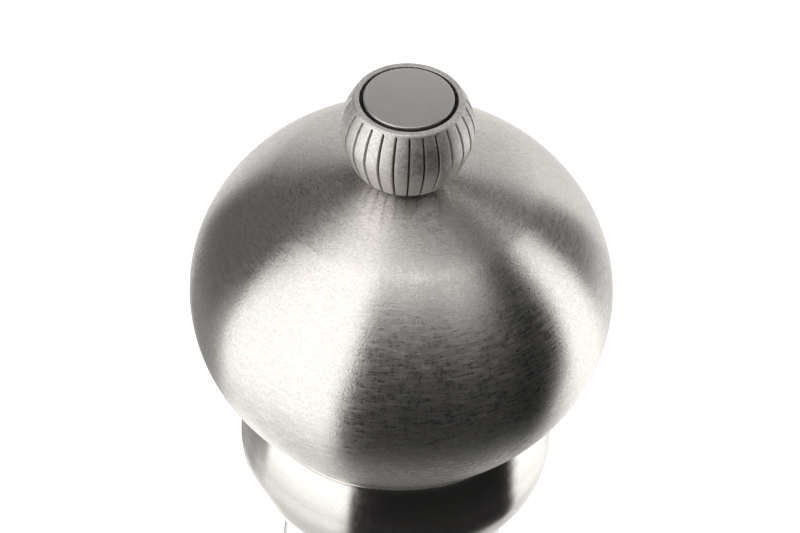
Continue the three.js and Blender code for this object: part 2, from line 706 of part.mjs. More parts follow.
/** The drive tube: slots for the cross pin, a flange, a collar, the square and the threaded stud. */
function driveTube() {
  const flangeBottom = bushTop + FIT_GAP;
  const grooveRadius = tubeRadius - CLIP_DEPTH;
  const tube = turned([
    [tubeBore, tubeBottom],
    [tubeRadius, tubeBottom],
    [tubeRadius, clipBottom - SEAT_GAP],
    [grooveRadius, clipBottom - SEAT_GAP],
    [grooveRadius, clipTop + SEAT_GAP],
    [tubeRadius, clipTop + SEAT_GAP],
    [tubeRadius, flangeBottom],
    [tubeFlange, flangeBottom],
    [tubeFlange, flangeBottom + TUBE_FLANGE_THICKNESS],
    [tubeRadius, flangeBottom + TUBE_FLANGE_THICKNESS],
    [tubeRadius, collarTop - TUBE_FLANGE_THICKNESS],
    [tubeFlange, collarTop - TUBE_FLANGE_THICKNESS],
    [tubeFlange, collarTop],
    [tubeBore, collarTop],
  ]);
  const square = cut(
    block(DRIVE_SQUARE, DRIVE_SQUARE, collarTop - EDGE, squareTop),
    rod(tubeBore, collarTop - OVERCUT, boreTop, INNER_SIDES),
  );
  const stud = turned(
    [
      [0, squareTop - EDGE],
      [STUD_RADIUS, squareTop - EDGE],
      [STUD_RADIUS, studTop - EDGE],
      [STUD_RADIUS - EDGE, studTop],
      [0, studTop],
    ],
    SMALL_SIDES,
  );
  const slotHalf = PIN_RADIUS + RUNNING_GAP;
  const slotTop = pinZ + PUSHER_TRAVEL + slotHalf;
  const slot = block(2 * (tubeRadius + SEAT_GAP), 2 * slotHalf, pinZ - slotHalf, slotTop);
  return cut(join(tube, square, stud), slot);
}

/** An open spring clip in the tube's groove. */
function tubeClip() {
  const inner = tubeRadius - CLIP_DEPTH + 2 * SEAT_GAP;
  const outer = inner + CLIP_WIDTH;
  const [below, above] = [clipBottom - OVERCUT, clipTop + OVERCUT];
  const opening = block(CLIP_OPENING, 2 * outer, below, above).translate(0, outer, 0);
  return cut(ring(inner, outer, clipBottom, clipTop), opening);
}

/** Points along the middle of the spring's wire, closer together in its first and last turn. */
function springPath() {
  const total = SPRING_TURNS * SPRING_STEPS;
  const lowest = springBottom + SPRING_WIRE / 2;
  const highest = springTop - SPRING_WIRE / 2;
  const bodyPitch = (highest - lowest - 2 * SPRING_END_PITCH) / (SPRING_TURNS - 2);
  return Array.from({ length: total + 1 }, (_, i) => {
    const turns = i / SPRING_STEPS;
    const middleTurns = THREE.MathUtils.clamp(turns - 1, 0, SPRING_TURNS - 2);
    const z = lowest + (turns - middleTurns) * SPRING_END_PITCH + middleTurns * bodyPitch;
    const angle = turns * FULL_TURN;
    return new THREE.Vector3(springRadius * Math.cos(angle), springRadius * Math.sin(angle), z);
  });
}

/** A closed tube of one section swept along the spring's path, square across the wire. */
function springOf(path) {
  const positions = path.flatMap((p) => {
    const outward = new THREE.Vector3(p.x, p.y, 0).normalize();
    return Array.from({ length: SPRING_SIDES }, (_, j) => {
      const turn = (j * FULL_TURN) / SPRING_SIDES;
      const across = outward.clone().multiplyScalar((SPRING_WIRE / 2) * Math.cos(turn));
      return p.clone().add(across).setZ(p.z + (SPRING_WIRE / 2) * Math.sin(turn)).toArray();
    }).flat();
  });
  const faces = [];
  const last = (path.length - 1) * SPRING_SIDES;
  for (let row = 0; row < last; row += SPRING_SIDES) {
    for (let j = 0; j < SPRING_SIDES; j += 1) {
      const [a, b] = [row + j, row + ((j + 1) % SPRING_SIDES)];
      faces.push(a, a + SPRING_SIDES, b, b, a + SPRING_SIDES, b + SPRING_SIDES);
    }
  }
  for (let j = 1; j < SPRING_SIDES - 1; j += 1) {
    faces.push(0, j, j + 1, last, last + j + 1, last + j);
  }
  return new THREE.BufferGeometry()
    .setAttribute("position", new THREE.Float32BufferAttribute(positions, 3))
    .setIndex(faces);
}

/** The least gap between the wire and a neighbouring turn of it. */
function leastSpringGap(path) {
  const gaps = path.flatMap((p, i) =>
    path.slice(i + SPRING_STEPS / 2).map((q) => p.distanceTo(q) - SPRING_WIRE),
  );
  return Math.min(...gaps);
}

const springSeatBore = tubeRadius + RUNNING_GAP;
const wirePath = springPath();
console.log(`least gap between the spring's turns: ${leastSpringGap(wirePath).toFixed(2)} mm`);

addPiece(head, "head_shell", headShell(), brushedSteel);
addPiece(head, "head_plate", headPlate(), darkPlastic);
addPiece(head, "drive_tube", driveTube(), plainSteel);
addPiece(head, "tube_clip", tubeClip(), springSteel);
addPiece(
  head,
  "thrust_washer",
  ring(bushBore, bushRadius + BUSH_FLANGE_WIDTH, washerBottom, washerTop),
  paleNylon,
);
addPiece(
  head,
  "spring_seat",
  ring(springSeatBore, springRadius + SPRING_WIRE, seatBottom, seatBottom + SHEET),
  plainSteel,
);
addPiece(head, "pusher_spring", springOf(wirePath), springSteel);

// Pusher: disc, stem with its cross pin, claw plate and screw

function pusherDisc() {
  const bore = STEM_RADIUS + RUNNING_GAP;
  return turned([
    [bore, pusherBottom],
    [pusherRadius - EDGE, pusherBottom],
    [pusherRadius, pusherBottom + EDGE],
    [pusherRadius, pusherTop],
    [PUSHER_BOSS_RADIUS, pusherTop],
    [PUSHER_BOSS_RADIUS - RUNNING_GAP, bossTop],
    [bore, bossTop],
  ]);
}

/** Lays a rod across the axis at the pin's height. */
const acrossStem = (radius, half) =>
  rod(radius, -half, half).rotateY(Math.PI / 2).translate(0, 0, pinZ);

function pusherStem() {
  const stem = rod(STEM_RADIUS, pusherBottom, stemTop, INNER_SIDES);
  const threadTop = clawPlateBottom + CLAW_SCREW_LENGTH + SEAT_GAP;
  const thread = rod(CLAW_SCREW_RADIUS + RUNNING_GAP, clawPlateTop - OVERCUT, threadTop);
  return cut(stem, acrossStem(PIN_RADIUS + SEAT_GAP, 2 * STEM_RADIUS), thread);
}

/** A stamped plate whose pointed claws are bent down from its rim. */
function clawPlate() {
  const half = CLAW_WIDTH / 2;
  const shoulder = -CLAW_SHOULDER_SHARE * CLAW_LENGTH;
  const corners = [
    [-half, SHEET / 2],
    [-CLAW_TAPER_SHARE * half, shoulder],
    [0, -CLAW_LENGTH],
    [CLAW_TAPER_SHARE * half, shoulder],
    [half, SHEET / 2],
  ];
  const shape = new THREE.Shape(corners.map((p) => new THREE.Vector2(...p)));
  const claw = new THREE.ExtrudeGeometry(shape, { depth: SHEET, bevelEnabled: false })
    .rotateX(Math.PI / 2)
    .rotateZ(Math.PI / 2)
    .translate(-SHEET, 0, clawPlateBottom);
  const plate = rod(CLAW_PLATE_RADIUS, clawPlateBottom, clawPlateTop, INNER_SIDES);
  const sink = turned(
    countersunk(CLAW_SCREW_RADIUS, 0, -CLAW_SCREW_LENGTH, RUNNING_GAP, OVERCUT),
    SMALL_SIDES,
  );
  return cut(join(plate, ...around(claw, CLAW_COUNT, CLAW_PLATE_RADIUS)), tipUp(sink));
}

/** Turns what points down from z = 0 over, onto the claw plate's underside. */
const tipUp = (geometry) => geometry.rotateX(Math.PI).translate(0, 0, clawPlateBottom);

addPiece(pusher, "pusher_disc", pusherDisc(), darkPlastic);
addPiece(pusher, "pusher_stem", pusherStem(), plainSteel);
addPiece(pusher, "cross_pin", acrossStem(PIN_RADIUS, tubeRadius - TIP_GAP), springSteel);
addPiece(pusher, "claw_plate", clawPlate(), bladeSteel);
addPiece(
  pusher,
  "claw_screw",
  tipUp(countersunkScrew(CLAW_SCREW_RADIUS, 0, CLAW_SCREW_LENGTH)),
  plainSteel,
);

// Knob: washer, fluted body, gasket and cap disc

/** The knob's side, from its drawn-in base over the belly to the rim. */
function knobSide() {
  const knots = [
    [KNOB_BASE_RADIUS, knobBottom],
    ...[KNOB_LOWER_SHARES, KNOB_BELLY_SHARES, KNOB_UPPER_SHARES].map(([radius, height]) => [
      KNOB_RADIUS * radius,
      knobBottom + KNOB_HEIGHT * height,
    ]),
    [knobRimRadius + KNOB_RIM_ROUNDING, knobBottom + KNOB_HEIGHT * KNOB_RIM_SHARE],
    [knobRimRadius, knobTop],
  ];
  return new THREE.SplineCurve(knots.map((p) => new THREE.Vector2(...p))).getPoints(8);
}

/** How much of the groove depth is left at a height: all of it, but for the run-out at the top. */
function grooveShare(z) {
  const left = FLUTE_TOP_SHARE + FLUTE_RUN_OUT_SHARE - (z - knobBottom) / KNOB_HEIGHT;
  return THREE.MathUtils.smoothstep(left, 0, FLUTE_RUN_OUT_SHARE);
}

/** The knob's outside: rings of points that dip at each groove. */
function flutedSide() {
  const halfWidth = FLUTE_WIDTH / 2 / KNOB_RADIUS;
  const columns = Array.from({ length: FLUTE_COUNT }, (_, i) => {
    const middle = FLUTE_PHASE + (i * FULL_TURN) / FLUTE_COUNT;
    return [
      { angle: middle - halfWidth, depth: 0 },
      { angle: middle, depth: FLUTE_DEPTH },
      { angle: middle + halfWidth, depth: 0 },
    ];
  }).flat();
  const side = knobSide();
  const positions = side.flatMap((p) =>
    columns.flatMap(({ angle, depth }) => {
      const radius = p.x - depth * grooveShare(p.y);
      return [radius * Math.cos(angle), radius * Math.sin(angle), p.y];
    }),
  );
  const count = columns.length;
  const topRow = (side.length - 1) * count;
  const bottomCentre = side.length * count;
  const topCentre = bottomCentre + 1;
  positions.push(0, 0, knobBottom, 0, 0, knobTop);
  const faces = columns.flatMap((_, j) => {
    const next = (j + 1) % count;
    const strip = [bottomCentre, next, j, topCentre, topRow + j, topRow + next];
    for (let row = 0; row < topRow; row += count) {
      strip.push(row + j, row + next, row + count + j);
      strip.push(row + next, row + count + next, row + count + j);
    }
    return strip;
  });
  return new THREE.BufferGeometry()
    .setAttribute("position", new THREE.Float32BufferAttribute(positions, 3))
    .setIndex(faces);
}

const capFloor = knobTop - CAP_RECESS_DEPTH;
const knobWasherTop = knobWasherBottom + WASHER_THICKNESS;

/** The knob: recessed on top for the cap, underneath for the washer, and bored for the stud. */
function knobBody() {
  const below = knobBottom - OVERCUT;
  return cut(
    flutedSide(),
    rod(capRecessRadius, capFloor, knobTop + OVERCUT, SHELL_SIDES),
    rod(KNOB_WASHER_RADIUS + FIT_GAP, below, knobWasherTop + SEAT_GAP, INNER_SIDES),
    rod(STUD_RADIUS + FIT_GAP, below, studTop + FIT_GAP, INNER_SIDES),
  );
}

const capGasket = ring(
  gasketBore,
  gasketRadius,
  capFloor + SEAT_GAP,
  knobTop - GASKET_BELOW_RIM,
  SHELL_SIDES,
);
const capDisc = turned(
  [
    [0, capFloor + SEAT_GAP],
    [CAP_RADIUS, capFloor + SEAT_GAP],
    [CAP_RADIUS, knobTop + CAP_PROUD - CAP_EDGE],
    [CAP_RADIUS - CAP_EDGE, knobTop + CAP_PROUD],
    [0, knobTop + CAP_PROUD],
  ],
  SHELL_SIDES,
);

addPiece(
  knob,
  "knob_washer",
  ring(neckBore, KNOB_WASHER_RADIUS, knobWasherBottom, knobWasherTop),
  paleNylon,
);
addPiece(knob, "knob_body", knobBody(), satinSteel);
addPiece(knob, "cap_gasket", capGasket, blackRubber);
addPiece(knob, "cap_disc", capDisc, capSteel);

export default mill;
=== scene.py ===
"""Dresses a turned steel nutmeg mill: brushed head and body, fluted satin knob, and the works inside."""

import logging
import math
from collections.abc import Callable, Iterator, Sequence
from contextlib import contextmanager
from dataclasses import dataclass, field
from enum import Enum
from functools import cache

import bmesh
import bpy
from mathutils import Matrix, Vector


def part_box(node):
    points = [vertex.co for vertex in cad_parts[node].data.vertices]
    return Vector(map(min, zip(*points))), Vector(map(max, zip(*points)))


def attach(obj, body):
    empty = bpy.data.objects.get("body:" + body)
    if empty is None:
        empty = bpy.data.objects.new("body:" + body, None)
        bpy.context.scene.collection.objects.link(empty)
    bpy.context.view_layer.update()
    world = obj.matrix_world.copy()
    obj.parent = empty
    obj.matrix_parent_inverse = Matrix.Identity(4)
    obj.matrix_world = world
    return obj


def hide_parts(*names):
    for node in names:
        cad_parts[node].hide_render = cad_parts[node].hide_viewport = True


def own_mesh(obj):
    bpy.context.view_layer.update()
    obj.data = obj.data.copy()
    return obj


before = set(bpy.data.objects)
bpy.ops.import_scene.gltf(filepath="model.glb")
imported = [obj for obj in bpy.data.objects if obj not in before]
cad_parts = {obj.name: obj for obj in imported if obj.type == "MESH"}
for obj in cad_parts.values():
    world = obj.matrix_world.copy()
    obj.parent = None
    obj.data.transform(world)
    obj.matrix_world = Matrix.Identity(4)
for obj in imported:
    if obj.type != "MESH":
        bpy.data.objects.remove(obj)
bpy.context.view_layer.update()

MM = 0.001
STROKE = 22 * MM
MERGE = 1e-7
SHARP_ANGLE = 32.0
FULL_TURN = 2 * math.pi
QUARTER = math.pi / 2
CENTRE = Vector((0, 0, 0))
Z_AXIS = Vector((0, 0, 1))
log = logging.getLogger("mill")

Edit = bmesh.types.BMesh
Node = bpy.types.Node
Outline = list[Vector]
Piece = bpy.types.Object
Socket = bpy.types.NodeSocket


# Outlines: points of a radius and a height, in metres


def path(*pairs: Sequence[float]) -> Outline:
    """An outline from pairs of a radius and a height."""
    return [Vector(pair) for pair in pairs]


def corners(inner: float, outer: float, bottom: float, top: float) -> Outline:
    """A ring's section, or half a disc's where inner is 0."""
    return path((inner, bottom), (outer, bottom), (outer, top), (inner, top))


def lerp(start: float, end: float, share: float) -> float:
    """The value a share of the way from start to end."""
    return start + (end - start) * share


def smoothstep(low: float, high: float, value: float) -> float:
    """0 below low, 1 above high and a smooth change between them."""
    share = min(max((value - low) / (high - low), 0.0), 1.0)
    return share * share * (3 - 2 * share)


def bezier(steps: int, *knots: Sequence[float]) -> Outline:
    """A cubic curve in so many steps, from its start, two handles and end."""
    a, b, c, d = path(*knots)
    shares = [i / steps for i in range(steps + 1)]
    return [a * (1 - t) ** 3 + b * 3 * t * (1 - t) ** 2 + c * 3 * t * t * (1 - t) + d * t**3 for t in shares]


def through(knots: Sequence[Vector], steps: int = 14) -> Outline:
    """A smooth curve that passes its knots, in so many steps from each to the next."""
    padded = [knots[0], *knots, knots[-1]]
    points: Outline = []
    for a, b, c, d in zip(padded, padded[1:], padded[2:], padded[3:]):
        square, cube = a * 2 - b * 5 + c * 4 - d, b * 3 - a - c * 3 + d
        points += [(b * 2 + (c - a) * t + square * t * t + cube * t**3) / 2 for t in (i / steps for i in range(steps))]
    return [*points, knots[-1].copy()]


def inset(outline: Sequence[Vector], wall: float) -> Outline:
    """An open outline moved square to itself by a wall, to its left."""
    moved: Outline = []
    for i, here in enumerate(outline):
        along = (outline[min(i + 1, len(outline) - 1)] - outline[max(i - 1, 0)]).normalized()
        moved.append(here + Vector((-along.y, along.x)) * wall)
    return moved


def soften(outline: Sequence[Vector], radius: float, closed: bool = True, steps: int = 4) -> Outline:
    """Rounds the corners of an outline and leaves its smooth stretches alone.

    Args:
        outline: The points.
        radius: How far from a corner its rounding starts, where the sides are long enough.
        closed: Whether the last point is joined to the first.
        steps: How many steps a rounded corner takes.

    Returns:
        The outline with each sharp corner replaced by a short arc.
    """
    smallest_turn, longest_share = math.radians(20), 0.42
    count = len(outline)
    points: Outline = []
    for i, here in enumerate(outline):
        before, after = outline[i - 1] - here, outline[(i + 1) % count] - here
        at_end = not closed and i in (0, count - 1)
        if at_end or min(before.length, after.length) < 1e-9 or math.pi - before.angle(after) < smallest_turn:
            points.append(here.copy())
            continue
        reach = min(radius, longest_share * before.length, longest_share * after.length)
        start, end = here + before.normalized() * reach, here + after.normalized() * reach
        for t in (k / steps for k in range(steps + 1)):
            points.append(start * (1 - t) ** 2 + here * 2 * t * (1 - t) + end * t * t)
    return points


def radius_at(outline: Sequence[Vector], height: float) -> float:
    """The radius at which a rising outline passes a height; its first radius under its start."""
    for below, above in zip(outline, outline[1:]):
        if below.y <= height < above.y:
            return lerp(below.x, above.x, (height - below.y) / (above.y - below.y))
    return outline[0].x


def extent(node: str) -> tuple[float, float, float]:
    """A round node's bottom, top and outer radius, from its box."""
    low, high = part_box(node)
    return low.z, high.z, high.x


def thirds(radius: float) -> list[Vector]:
    """Three places at equal angles round the axis, the first on +Y."""
    angles = [QUARTER + i * FULL_TURN / 3 for i in range(3)]
    return [Vector((radius * math.cos(a), radius * math.sin(a), 0)) for a in angles]


# Meshes


def smooth(mesh: bpy.types.Mesh, sharp_angle: float = SHARP_ANGLE) -> None:
    """Shades a mesh smooth, except at its sharp edges."""
    mesh.polygons.foreach_set("use_smooth", [True] * len(mesh.polygons))
    mesh.set_sharp_from_angle(angle=math.radians(sharp_angle))


def finished(bm: Edit, name: str, sharp_angle: float = SHARP_ANGLE) -> Piece:
    """Turns a mesh under work, freed here, into a smooth-shaded object at the origin."""
    bmesh.ops.remove_doubles(bm, verts=bm.verts, dist=MERGE)
    bmesh.ops.recalc_face_normals(bm, faces=bm.faces)
    mesh = bpy.data.meshes.new(name)
    bm.to_mesh(mesh)
    bm.free()
    smooth(mesh, sharp_angle)
    piece = bpy.data.objects.new(name, mesh)
    bpy.context.scene.collection.objects.link(piece)
    return piece


@contextmanager
def reworked(piece: Piece) -> Iterator[Edit]:
    """Opens a piece's mesh for more work, then writes it back and shades it."""
    bm = bmesh.new()
    bm.from_mesh(piece.data)
    yield bm
    bm.to_mesh(piece.data)
    bm.free()
    smooth(piece.data)


def added(bm: Edit, other: Edit) -> Edit:
    """Adds another mesh to the first, and frees it."""
    passing = bpy.data.meshes.new("passing")
    other.to_mesh(passing)
    other.free()
    bm.from_mesh(passing)
    bpy.data.meshes.remove(passing)
    return bm


def strung(bm: Edit, outline: Sequence[Vector], lift: float = 0.0, closed: bool = True) -> list:
    """Strings an outline into a mesh, and gives its vertices and edges."""
    verts = [bm.verts.new((p.x, 0, p.y + lift)) for p in outline]
    pairs = list(zip(verts, verts[1:])) + ([(verts[-1], verts[0])] if closed else [])
    return [*verts, *[bm.edges.new(pair) for pair in pairs]]


def spin(bm: Edit, geometry: list, turn: float, steps: int, rise: float = 0.0) -> None:
    """Spins geometry round the Z axis, with a rise at each step."""
    bmesh.ops.spin(bm, geom=geometry, cent=CENTRE, axis=Z_AXIS, dvec=(0, 0, rise), angle=turn, steps=steps)


def rotate(bm: Edit, verts: Sequence[bmesh.types.BMVert], angle: float) -> None:
    """Turns vertices round the Z axis."""
    bmesh.ops.rotate(bm, cent=CENTRE, matrix=Matrix.Rotation(angle, 3, "Z"), verts=verts)


def bevel(bm: Edit, edges: Sequence[bmesh.types.BMEdge], width: float, segments: int = 2) -> None:
    """Rounds edges of a mesh under work."""
    how = {"offset_type": "OFFSET", "affect": "EDGES", "profile": 0.5, "material": -1}
    bmesh.ops.bevel(bm, geom=edges, offset=width, segments=segments, **how)


def spun(outline: Sequence[Vector], closed: bool = True, steps: int = 144, sectors: int = 8) -> Edit:
    """Spins an outline round the Z axis, one sector first and then its copies.

    Args:
        outline: The points. An open one starts and ends on the axis.
        closed: Whether the outline closes on itself.
        steps: How many steps the full turn takes.
        sectors: How many equal sectors the turn is made of.

    Returns:
        The turned mesh, for more work.
    """
    bm = bmesh.new()
    turn = FULL_TURN / sectors
    spin(bm, strung(bm, outline, closed=closed), turn, steps // sectors)
    sector = [*bm.verts, *bm.edges, *bm.faces]
    for i in range(1, sectors):
        copies = bmesh.ops.duplicate(bm, geom=sector)["geom"]
        rotate(bm, [part for part in copies if isinstance(part, bmesh.types.BMVert)], turn * i)
    bmesh.ops.remove_doubles(bm, verts=bm.verts, dist=MERGE)
    return bm


def turned(
    name: str, outline: Sequence[Vector], edge: float = 0.0, steps: int = 144, closed: bool = True, bends: int = 4
) -> Piece:
    """A turned piece.

    Args:
        name: The piece's name.
        outline: The points. An open one starts and ends on the axis.
        edge: How far its corners are rounded.
        steps: How many steps the full turn takes.
        closed: Whether the outline closes on itself.
        bends: How many steps a rounded corner takes.

    Returns:
        The finished object.
    """
    shape = soften(outline, edge, closed, bends) if edge else outline
    return finished(spun(shape, closed, steps), name)


def swept(section: Sequence[Vector], pitches: Sequence[float], bottom: float, steps: int) -> Edit:
    """A helical sweep with closed ends, such as a spring's wire or the crest of a thread.

    Args:
        section: The section's points, round its own middle height.
        pitches: The rise of each turn, from the lowest turn up.
        bottom: Height of the sweep's first middle.
        steps: How many steps a turn takes.

    Returns:
        The swept mesh.
    """
    coil = bmesh.new()
    for pitch in pitches:
        turn = bmesh.new()
        spin(turn, strung(turn, section, bottom), FULL_TURN, steps, pitch / steps)
        added(coil, turn)
        bottom += pitch
    bmesh.ops.remove_doubles(coil, verts=coil.verts, dist=MERGE)
    bmesh.ops.holes_fill(coil, edges=[edge for edge in coil.edges if edge.is_boundary])
    return coil


def ridged(piece: Piece, core: float, crest: float, pitch: float, bottom: float, top: float) -> Piece:
    """Winds a thread round a piece.

    Args:
        piece: The piece, its rod already in place.
        core, crest: Radius under the thread and of its crest.
        pitch: Rise of one turn.
        bottom, top: The threaded stretch.

    Returns:
        The same piece.
    """
    half, root = 0.44 * pitch, core - 0.2 * (crest - core)
    turns = int((top - bottom - 2 * half) / pitch)
    with reworked(piece) as bm:
        added(bm, swept(path((root, -half), (crest, 0), (root, half)), [pitch] * turns, bottom + half, 20))
        bmesh.ops.recalc_face_normals(bm, faces=bm.faces)
    return piece


def pegs(spots: Sequence[Vector], radius: float, bottom: float, top: float, top_radius: float = 0.0) -> Piece:
    """Upright round tools for cutting holes, all in one object.

    Args:
        spots: Where they stand.
        radius: Their radius at the bottom.
        bottom, top: The heights that they reach.
        top_radius: Their radius at the top, where it differs.

    Returns:
        The tools.
    """
    bm = bmesh.new()
    size = {"radius1": radius, "radius2": top_radius or radius, "depth": top - bottom}
    for spot in spots:
        place = Matrix.Translation((spot.x, spot.y, (bottom + top) / 2))
        bmesh.ops.create_cone(bm, cap_ends=True, segments=28, matrix=place, **size)
    return finished(bm, "tool")


def block(size: Sequence[float], middle: Vector, turn: float = 0.0) -> Edit:
    """A block, turned about the upright through its middle."""
    bm = bmesh.new()
    place = Matrix.Translation(middle) @ Matrix.Rotation(turn, 4, "Z") @ Matrix.Diagonal((*size, 1))
    bmesh.ops.create_cube(bm, size=1, matrix=place)
    return bm


def carved(piece: Piece, *tools: Piece, edge: float = 0.0) -> Piece:
    """Cuts tools, used up here, out of a piece.

    Args:
        piece: The piece.
        *tools: What is cut out of it.
        edge: Width of the edges broken afterwards.

    Returns:
        The same piece, with a new mesh and its modifiers applied.
    """
    for tool in tools:
        cutter = piece.modifiers.new("cut", "BOOLEAN")
        cutter.operation, cutter.solver, cutter.object = "DIFFERENCE", "EXACT", tool
    if edge:
        breaking = piece.modifiers.new("edges", "BEVEL")
        breaking.width, breaking.segments, breaking.angle_limit = edge, 2, math.radians(50)
    uncut = piece.data
    piece.data = bpy.data.meshes.new_from_object(piece.evaluated_get(bpy.context.evaluated_depsgraph_get()))
    piece.modifiers.clear()
    bpy.data.meshes.remove(uncut)
    for tool in tools:
        bpy.data.objects.remove(tool)
    smooth(piece.data)
    return piece


def moved_to(piece: Piece, place: Matrix) -> Piece:
    """Moves a piece's mesh and leaves its object at the origin."""
    piece.data.transform(place)
    return piece


def lying(height: float) -> Matrix:
    """Lays an upright piece along X, at a height."""
    return Matrix.Translation((0, 0, height)) @ Matrix.Rotation(QUARTER, 4, "Y")


def stands_for(piece: Piece, node: str, body: str, slot: str) -> Piece:
    """Dresses a piece and puts it in the place of a CAD node.

    Args:
        piece: The modelled piece.
        node: The CAD node that it replaces.
        body: The body that it moves with.
        slot: The record's material slot, which gives its finish.

    Returns:
        The same piece.
    """
    piece.data.materials.clear()
    piece.data.materials.append(FINISHES[slot].material())
    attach(piece, body)
    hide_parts(node)
    log.info("%s stands for %s and rides on %s", piece.name, node, body)
    return piece


# Materials


@dataclass
class Nodes:
    """Builds a node tree in few words."""

    tree: bpy.types.NodeTree

    def fill(self, node: Node, inputs: dict[str | int, object]) -> Node:
        """Links or sets a node's inputs, each under its name or number."""
        for key, source in inputs.items():
            if isinstance(source, Socket):
                self.tree.links.new(source, node.inputs[key])
            else:
                node.inputs[key].default_value = source
        return node

    def add(self, kind: str, inputs: dict[str | int, object] | None = None, **settings: object) -> Node:
        """Adds a node.

        Args:
            kind: Its type, such as Math.
            inputs: What its inputs are linked with or set to.
            **settings: Its properties, such as operation.

        Returns:
            The node.
        """
        node = self.tree.nodes.new(f"ShaderNode{kind}")
        for key, value in settings.items():
            setattr(node, key, value)
        return self.fill(node, inputs or {})

    def math(self, operation: str, *values: object) -> Socket:
        """A Math node's result."""
        return self.add("Math", dict(enumerate(values)), operation=operation).outputs[0]

    def vector(self, operation: str, *values: object) -> Socket:
        """A Vector Math node's result, its vector output or, for a length, its value."""
        node = self.add("VectorMath", dict(enumerate(values)), operation=operation)
        return node.outputs["Value" if operation == "LENGTH" else "Vector"]

    def scaled(self, value: object, factor: object) -> Socket:
        """A vector times a factor."""
        return self.add("VectorMath", {0: value, "Scale": factor}, operation="SCALE").outputs[0]

    def remap(self, value: object, low: float, high: float, start: float = 0.0, end: float = 1.0) -> Socket:
        """A value mapped smoothly from one range to another."""
        inputs = dict(enumerate((value, low, high, start, end)))
        return self.add("MapRange", inputs, interpolation_type="SMOOTHSTEP").outputs[0]

    def blend(self, share: object, first: object, second: object) -> Socket:
        """A mix of two values."""
        return self.add("Mix", {0: share, 2: first, 3: second}).outputs[0]

    def blend_colour(self, share: object, first: object, second: object) -> Socket:
        """A mix of two colours."""
        return self.add("Mix", {0: share, 6: first, 7: second}, data_type="RGBA").outputs[2]

    def noise(self, place: object, scale: object, detail: float, extra: object = None) -> Socket:
        """The value of a noise texture, four-dimensional where extra is given."""
        inputs = {"Vector": place, "Scale": scale, "Detail": detail} | ({} if extra is None else {"W": extra})
        return self.add("TexNoise", inputs, noise_dimensions="3D" if extra is None else "4D").outputs[0]

    def place(self) -> Socket:
        """The place on the object."""
        return self.add("TexCoord").outputs["Object"]

    def parts(self, vector: Socket) -> Sequence[Socket]:
        """A vector's X, Y and Z."""
        return self.add("SeparateXYZ", {0: vector}).outputs

    def group(self, tree: bpy.types.NodeTree, **inputs: float) -> Sequence[Socket]:
        """A shared effect's outputs."""
        return self.add("Group", inputs, node_tree=tree).outputs

    def bump(self, height: Socket, distance: float, **more: Socket) -> Socket:
        """A normal bent by a height."""
        return self.add("Bump", {"Height": height, "Distance": distance, **more}).outputs[0]


def shader_group(name: str, inputs: dict[str, float], outputs: Sequence[str], build: Callable) -> bpy.types.NodeTree:
    """A shared effect with named inputs and outputs, all of them plain values.

    Args:
        name: The group's name.
        inputs: Each input's name and usual value.
        outputs: The outputs' names.
        build: Takes the Nodes wrapper and the group's inputs, and returns the outputs' sources.

    Returns:
        The node group.
    """
    group = bpy.data.node_groups.new(name, "ShaderNodeTree")
    for title, value in inputs.items():
        group.interface.new_socket(title, in_out="INPUT", socket_type="NodeSocketFloat").default_value = value
    for title in outputs:
        group.interface.new_socket(title, in_out="OUTPUT", socket_type="NodeSocketFloat")
    nodes = Nodes(group)
    source, target = group.nodes.new("NodeGroupInput"), group.nodes.new("NodeGroupOutput")
    nodes.fill(target, dict(zip(outputs, build(nodes, source.outputs))))
    return group


def build_turning_lines(nodes: Nodes, inputs: Sequence[Socket]) -> list[Socket]:
    """Fine lines that run round the axis, with short bright dashes and long clouds among them."""
    place = nodes.place()
    flat = nodes.vector("MULTIPLY", place, (1, 1, 0))
    outward, radius, height = nodes.vector("NORMALIZE", flat), nodes.vector("LENGTH", flat), nodes.parts(place)[2]
    lift = nodes.add("CombineXYZ", {2: nodes.math("MULTIPLY", height, inputs["Lines"])}).outputs[0]
    across = nodes.math("MULTIPLY", radius, inputs["Lines"])
    values = []
    for length, share in ((1.0, 1.0), (0.5, 0.6), (1.4, 0.9), (3.2, 0.22)):
        along = nodes.scaled(outward, nodes.math("MULTIPLY", inputs["Spread"], length))
        spot = nodes.vector("ADD", along, nodes.scaled(lift, share))
        values.append(nodes.noise(spot, 1.0, 2.0, nodes.math("MULTIPLY", across, share)))
    fine, medium, dashes, coarse = values
    lines = nodes.math("ADD", fine, nodes.math("MULTIPLY", nodes.math("SUBTRACT", medium, 0.5), 0.35))
    return [lines, nodes.remap(dashes, 0.64, 0.74), nodes.remap(coarse, 0.35, 0.65)]


def build_specks(nodes: Nodes, inputs: Sequence[Socket]) -> list[Socket]:
    """Scattered tiny pits, only some of a grid of cells holding one."""
    where = {"Vector": nodes.place(), "Scale": inputs["Cells"]}
    cells = nodes.add("TexVoronoi", where, feature="F1").outputs
    pick = nodes.add("SeparateColor", {0: cells["Color"]}).outputs[0]
    near = nodes.remap(cells["Distance"], 0.1, 0.3, 1.0, 0.0)
    return [nodes.math("MULTIPLY", near, nodes.math("LESS_THAN", pick, inputs["Share"]))]


def build_grain(nodes: Nodes, inputs: Sequence[Socket]) -> list[Socket]:
    """An even fine grain with soft clouds in it."""
    place, scale = nodes.place(), inputs["Grains"]
    fine = nodes.noise(place, scale, 2.0)
    broad = nodes.noise(place, nodes.math("MULTIPLY", scale, 0.35), 3.0)
    return [fine, nodes.remap(fine, 0.36, 0.64), nodes.remap(broad, 0.3, 0.7)]


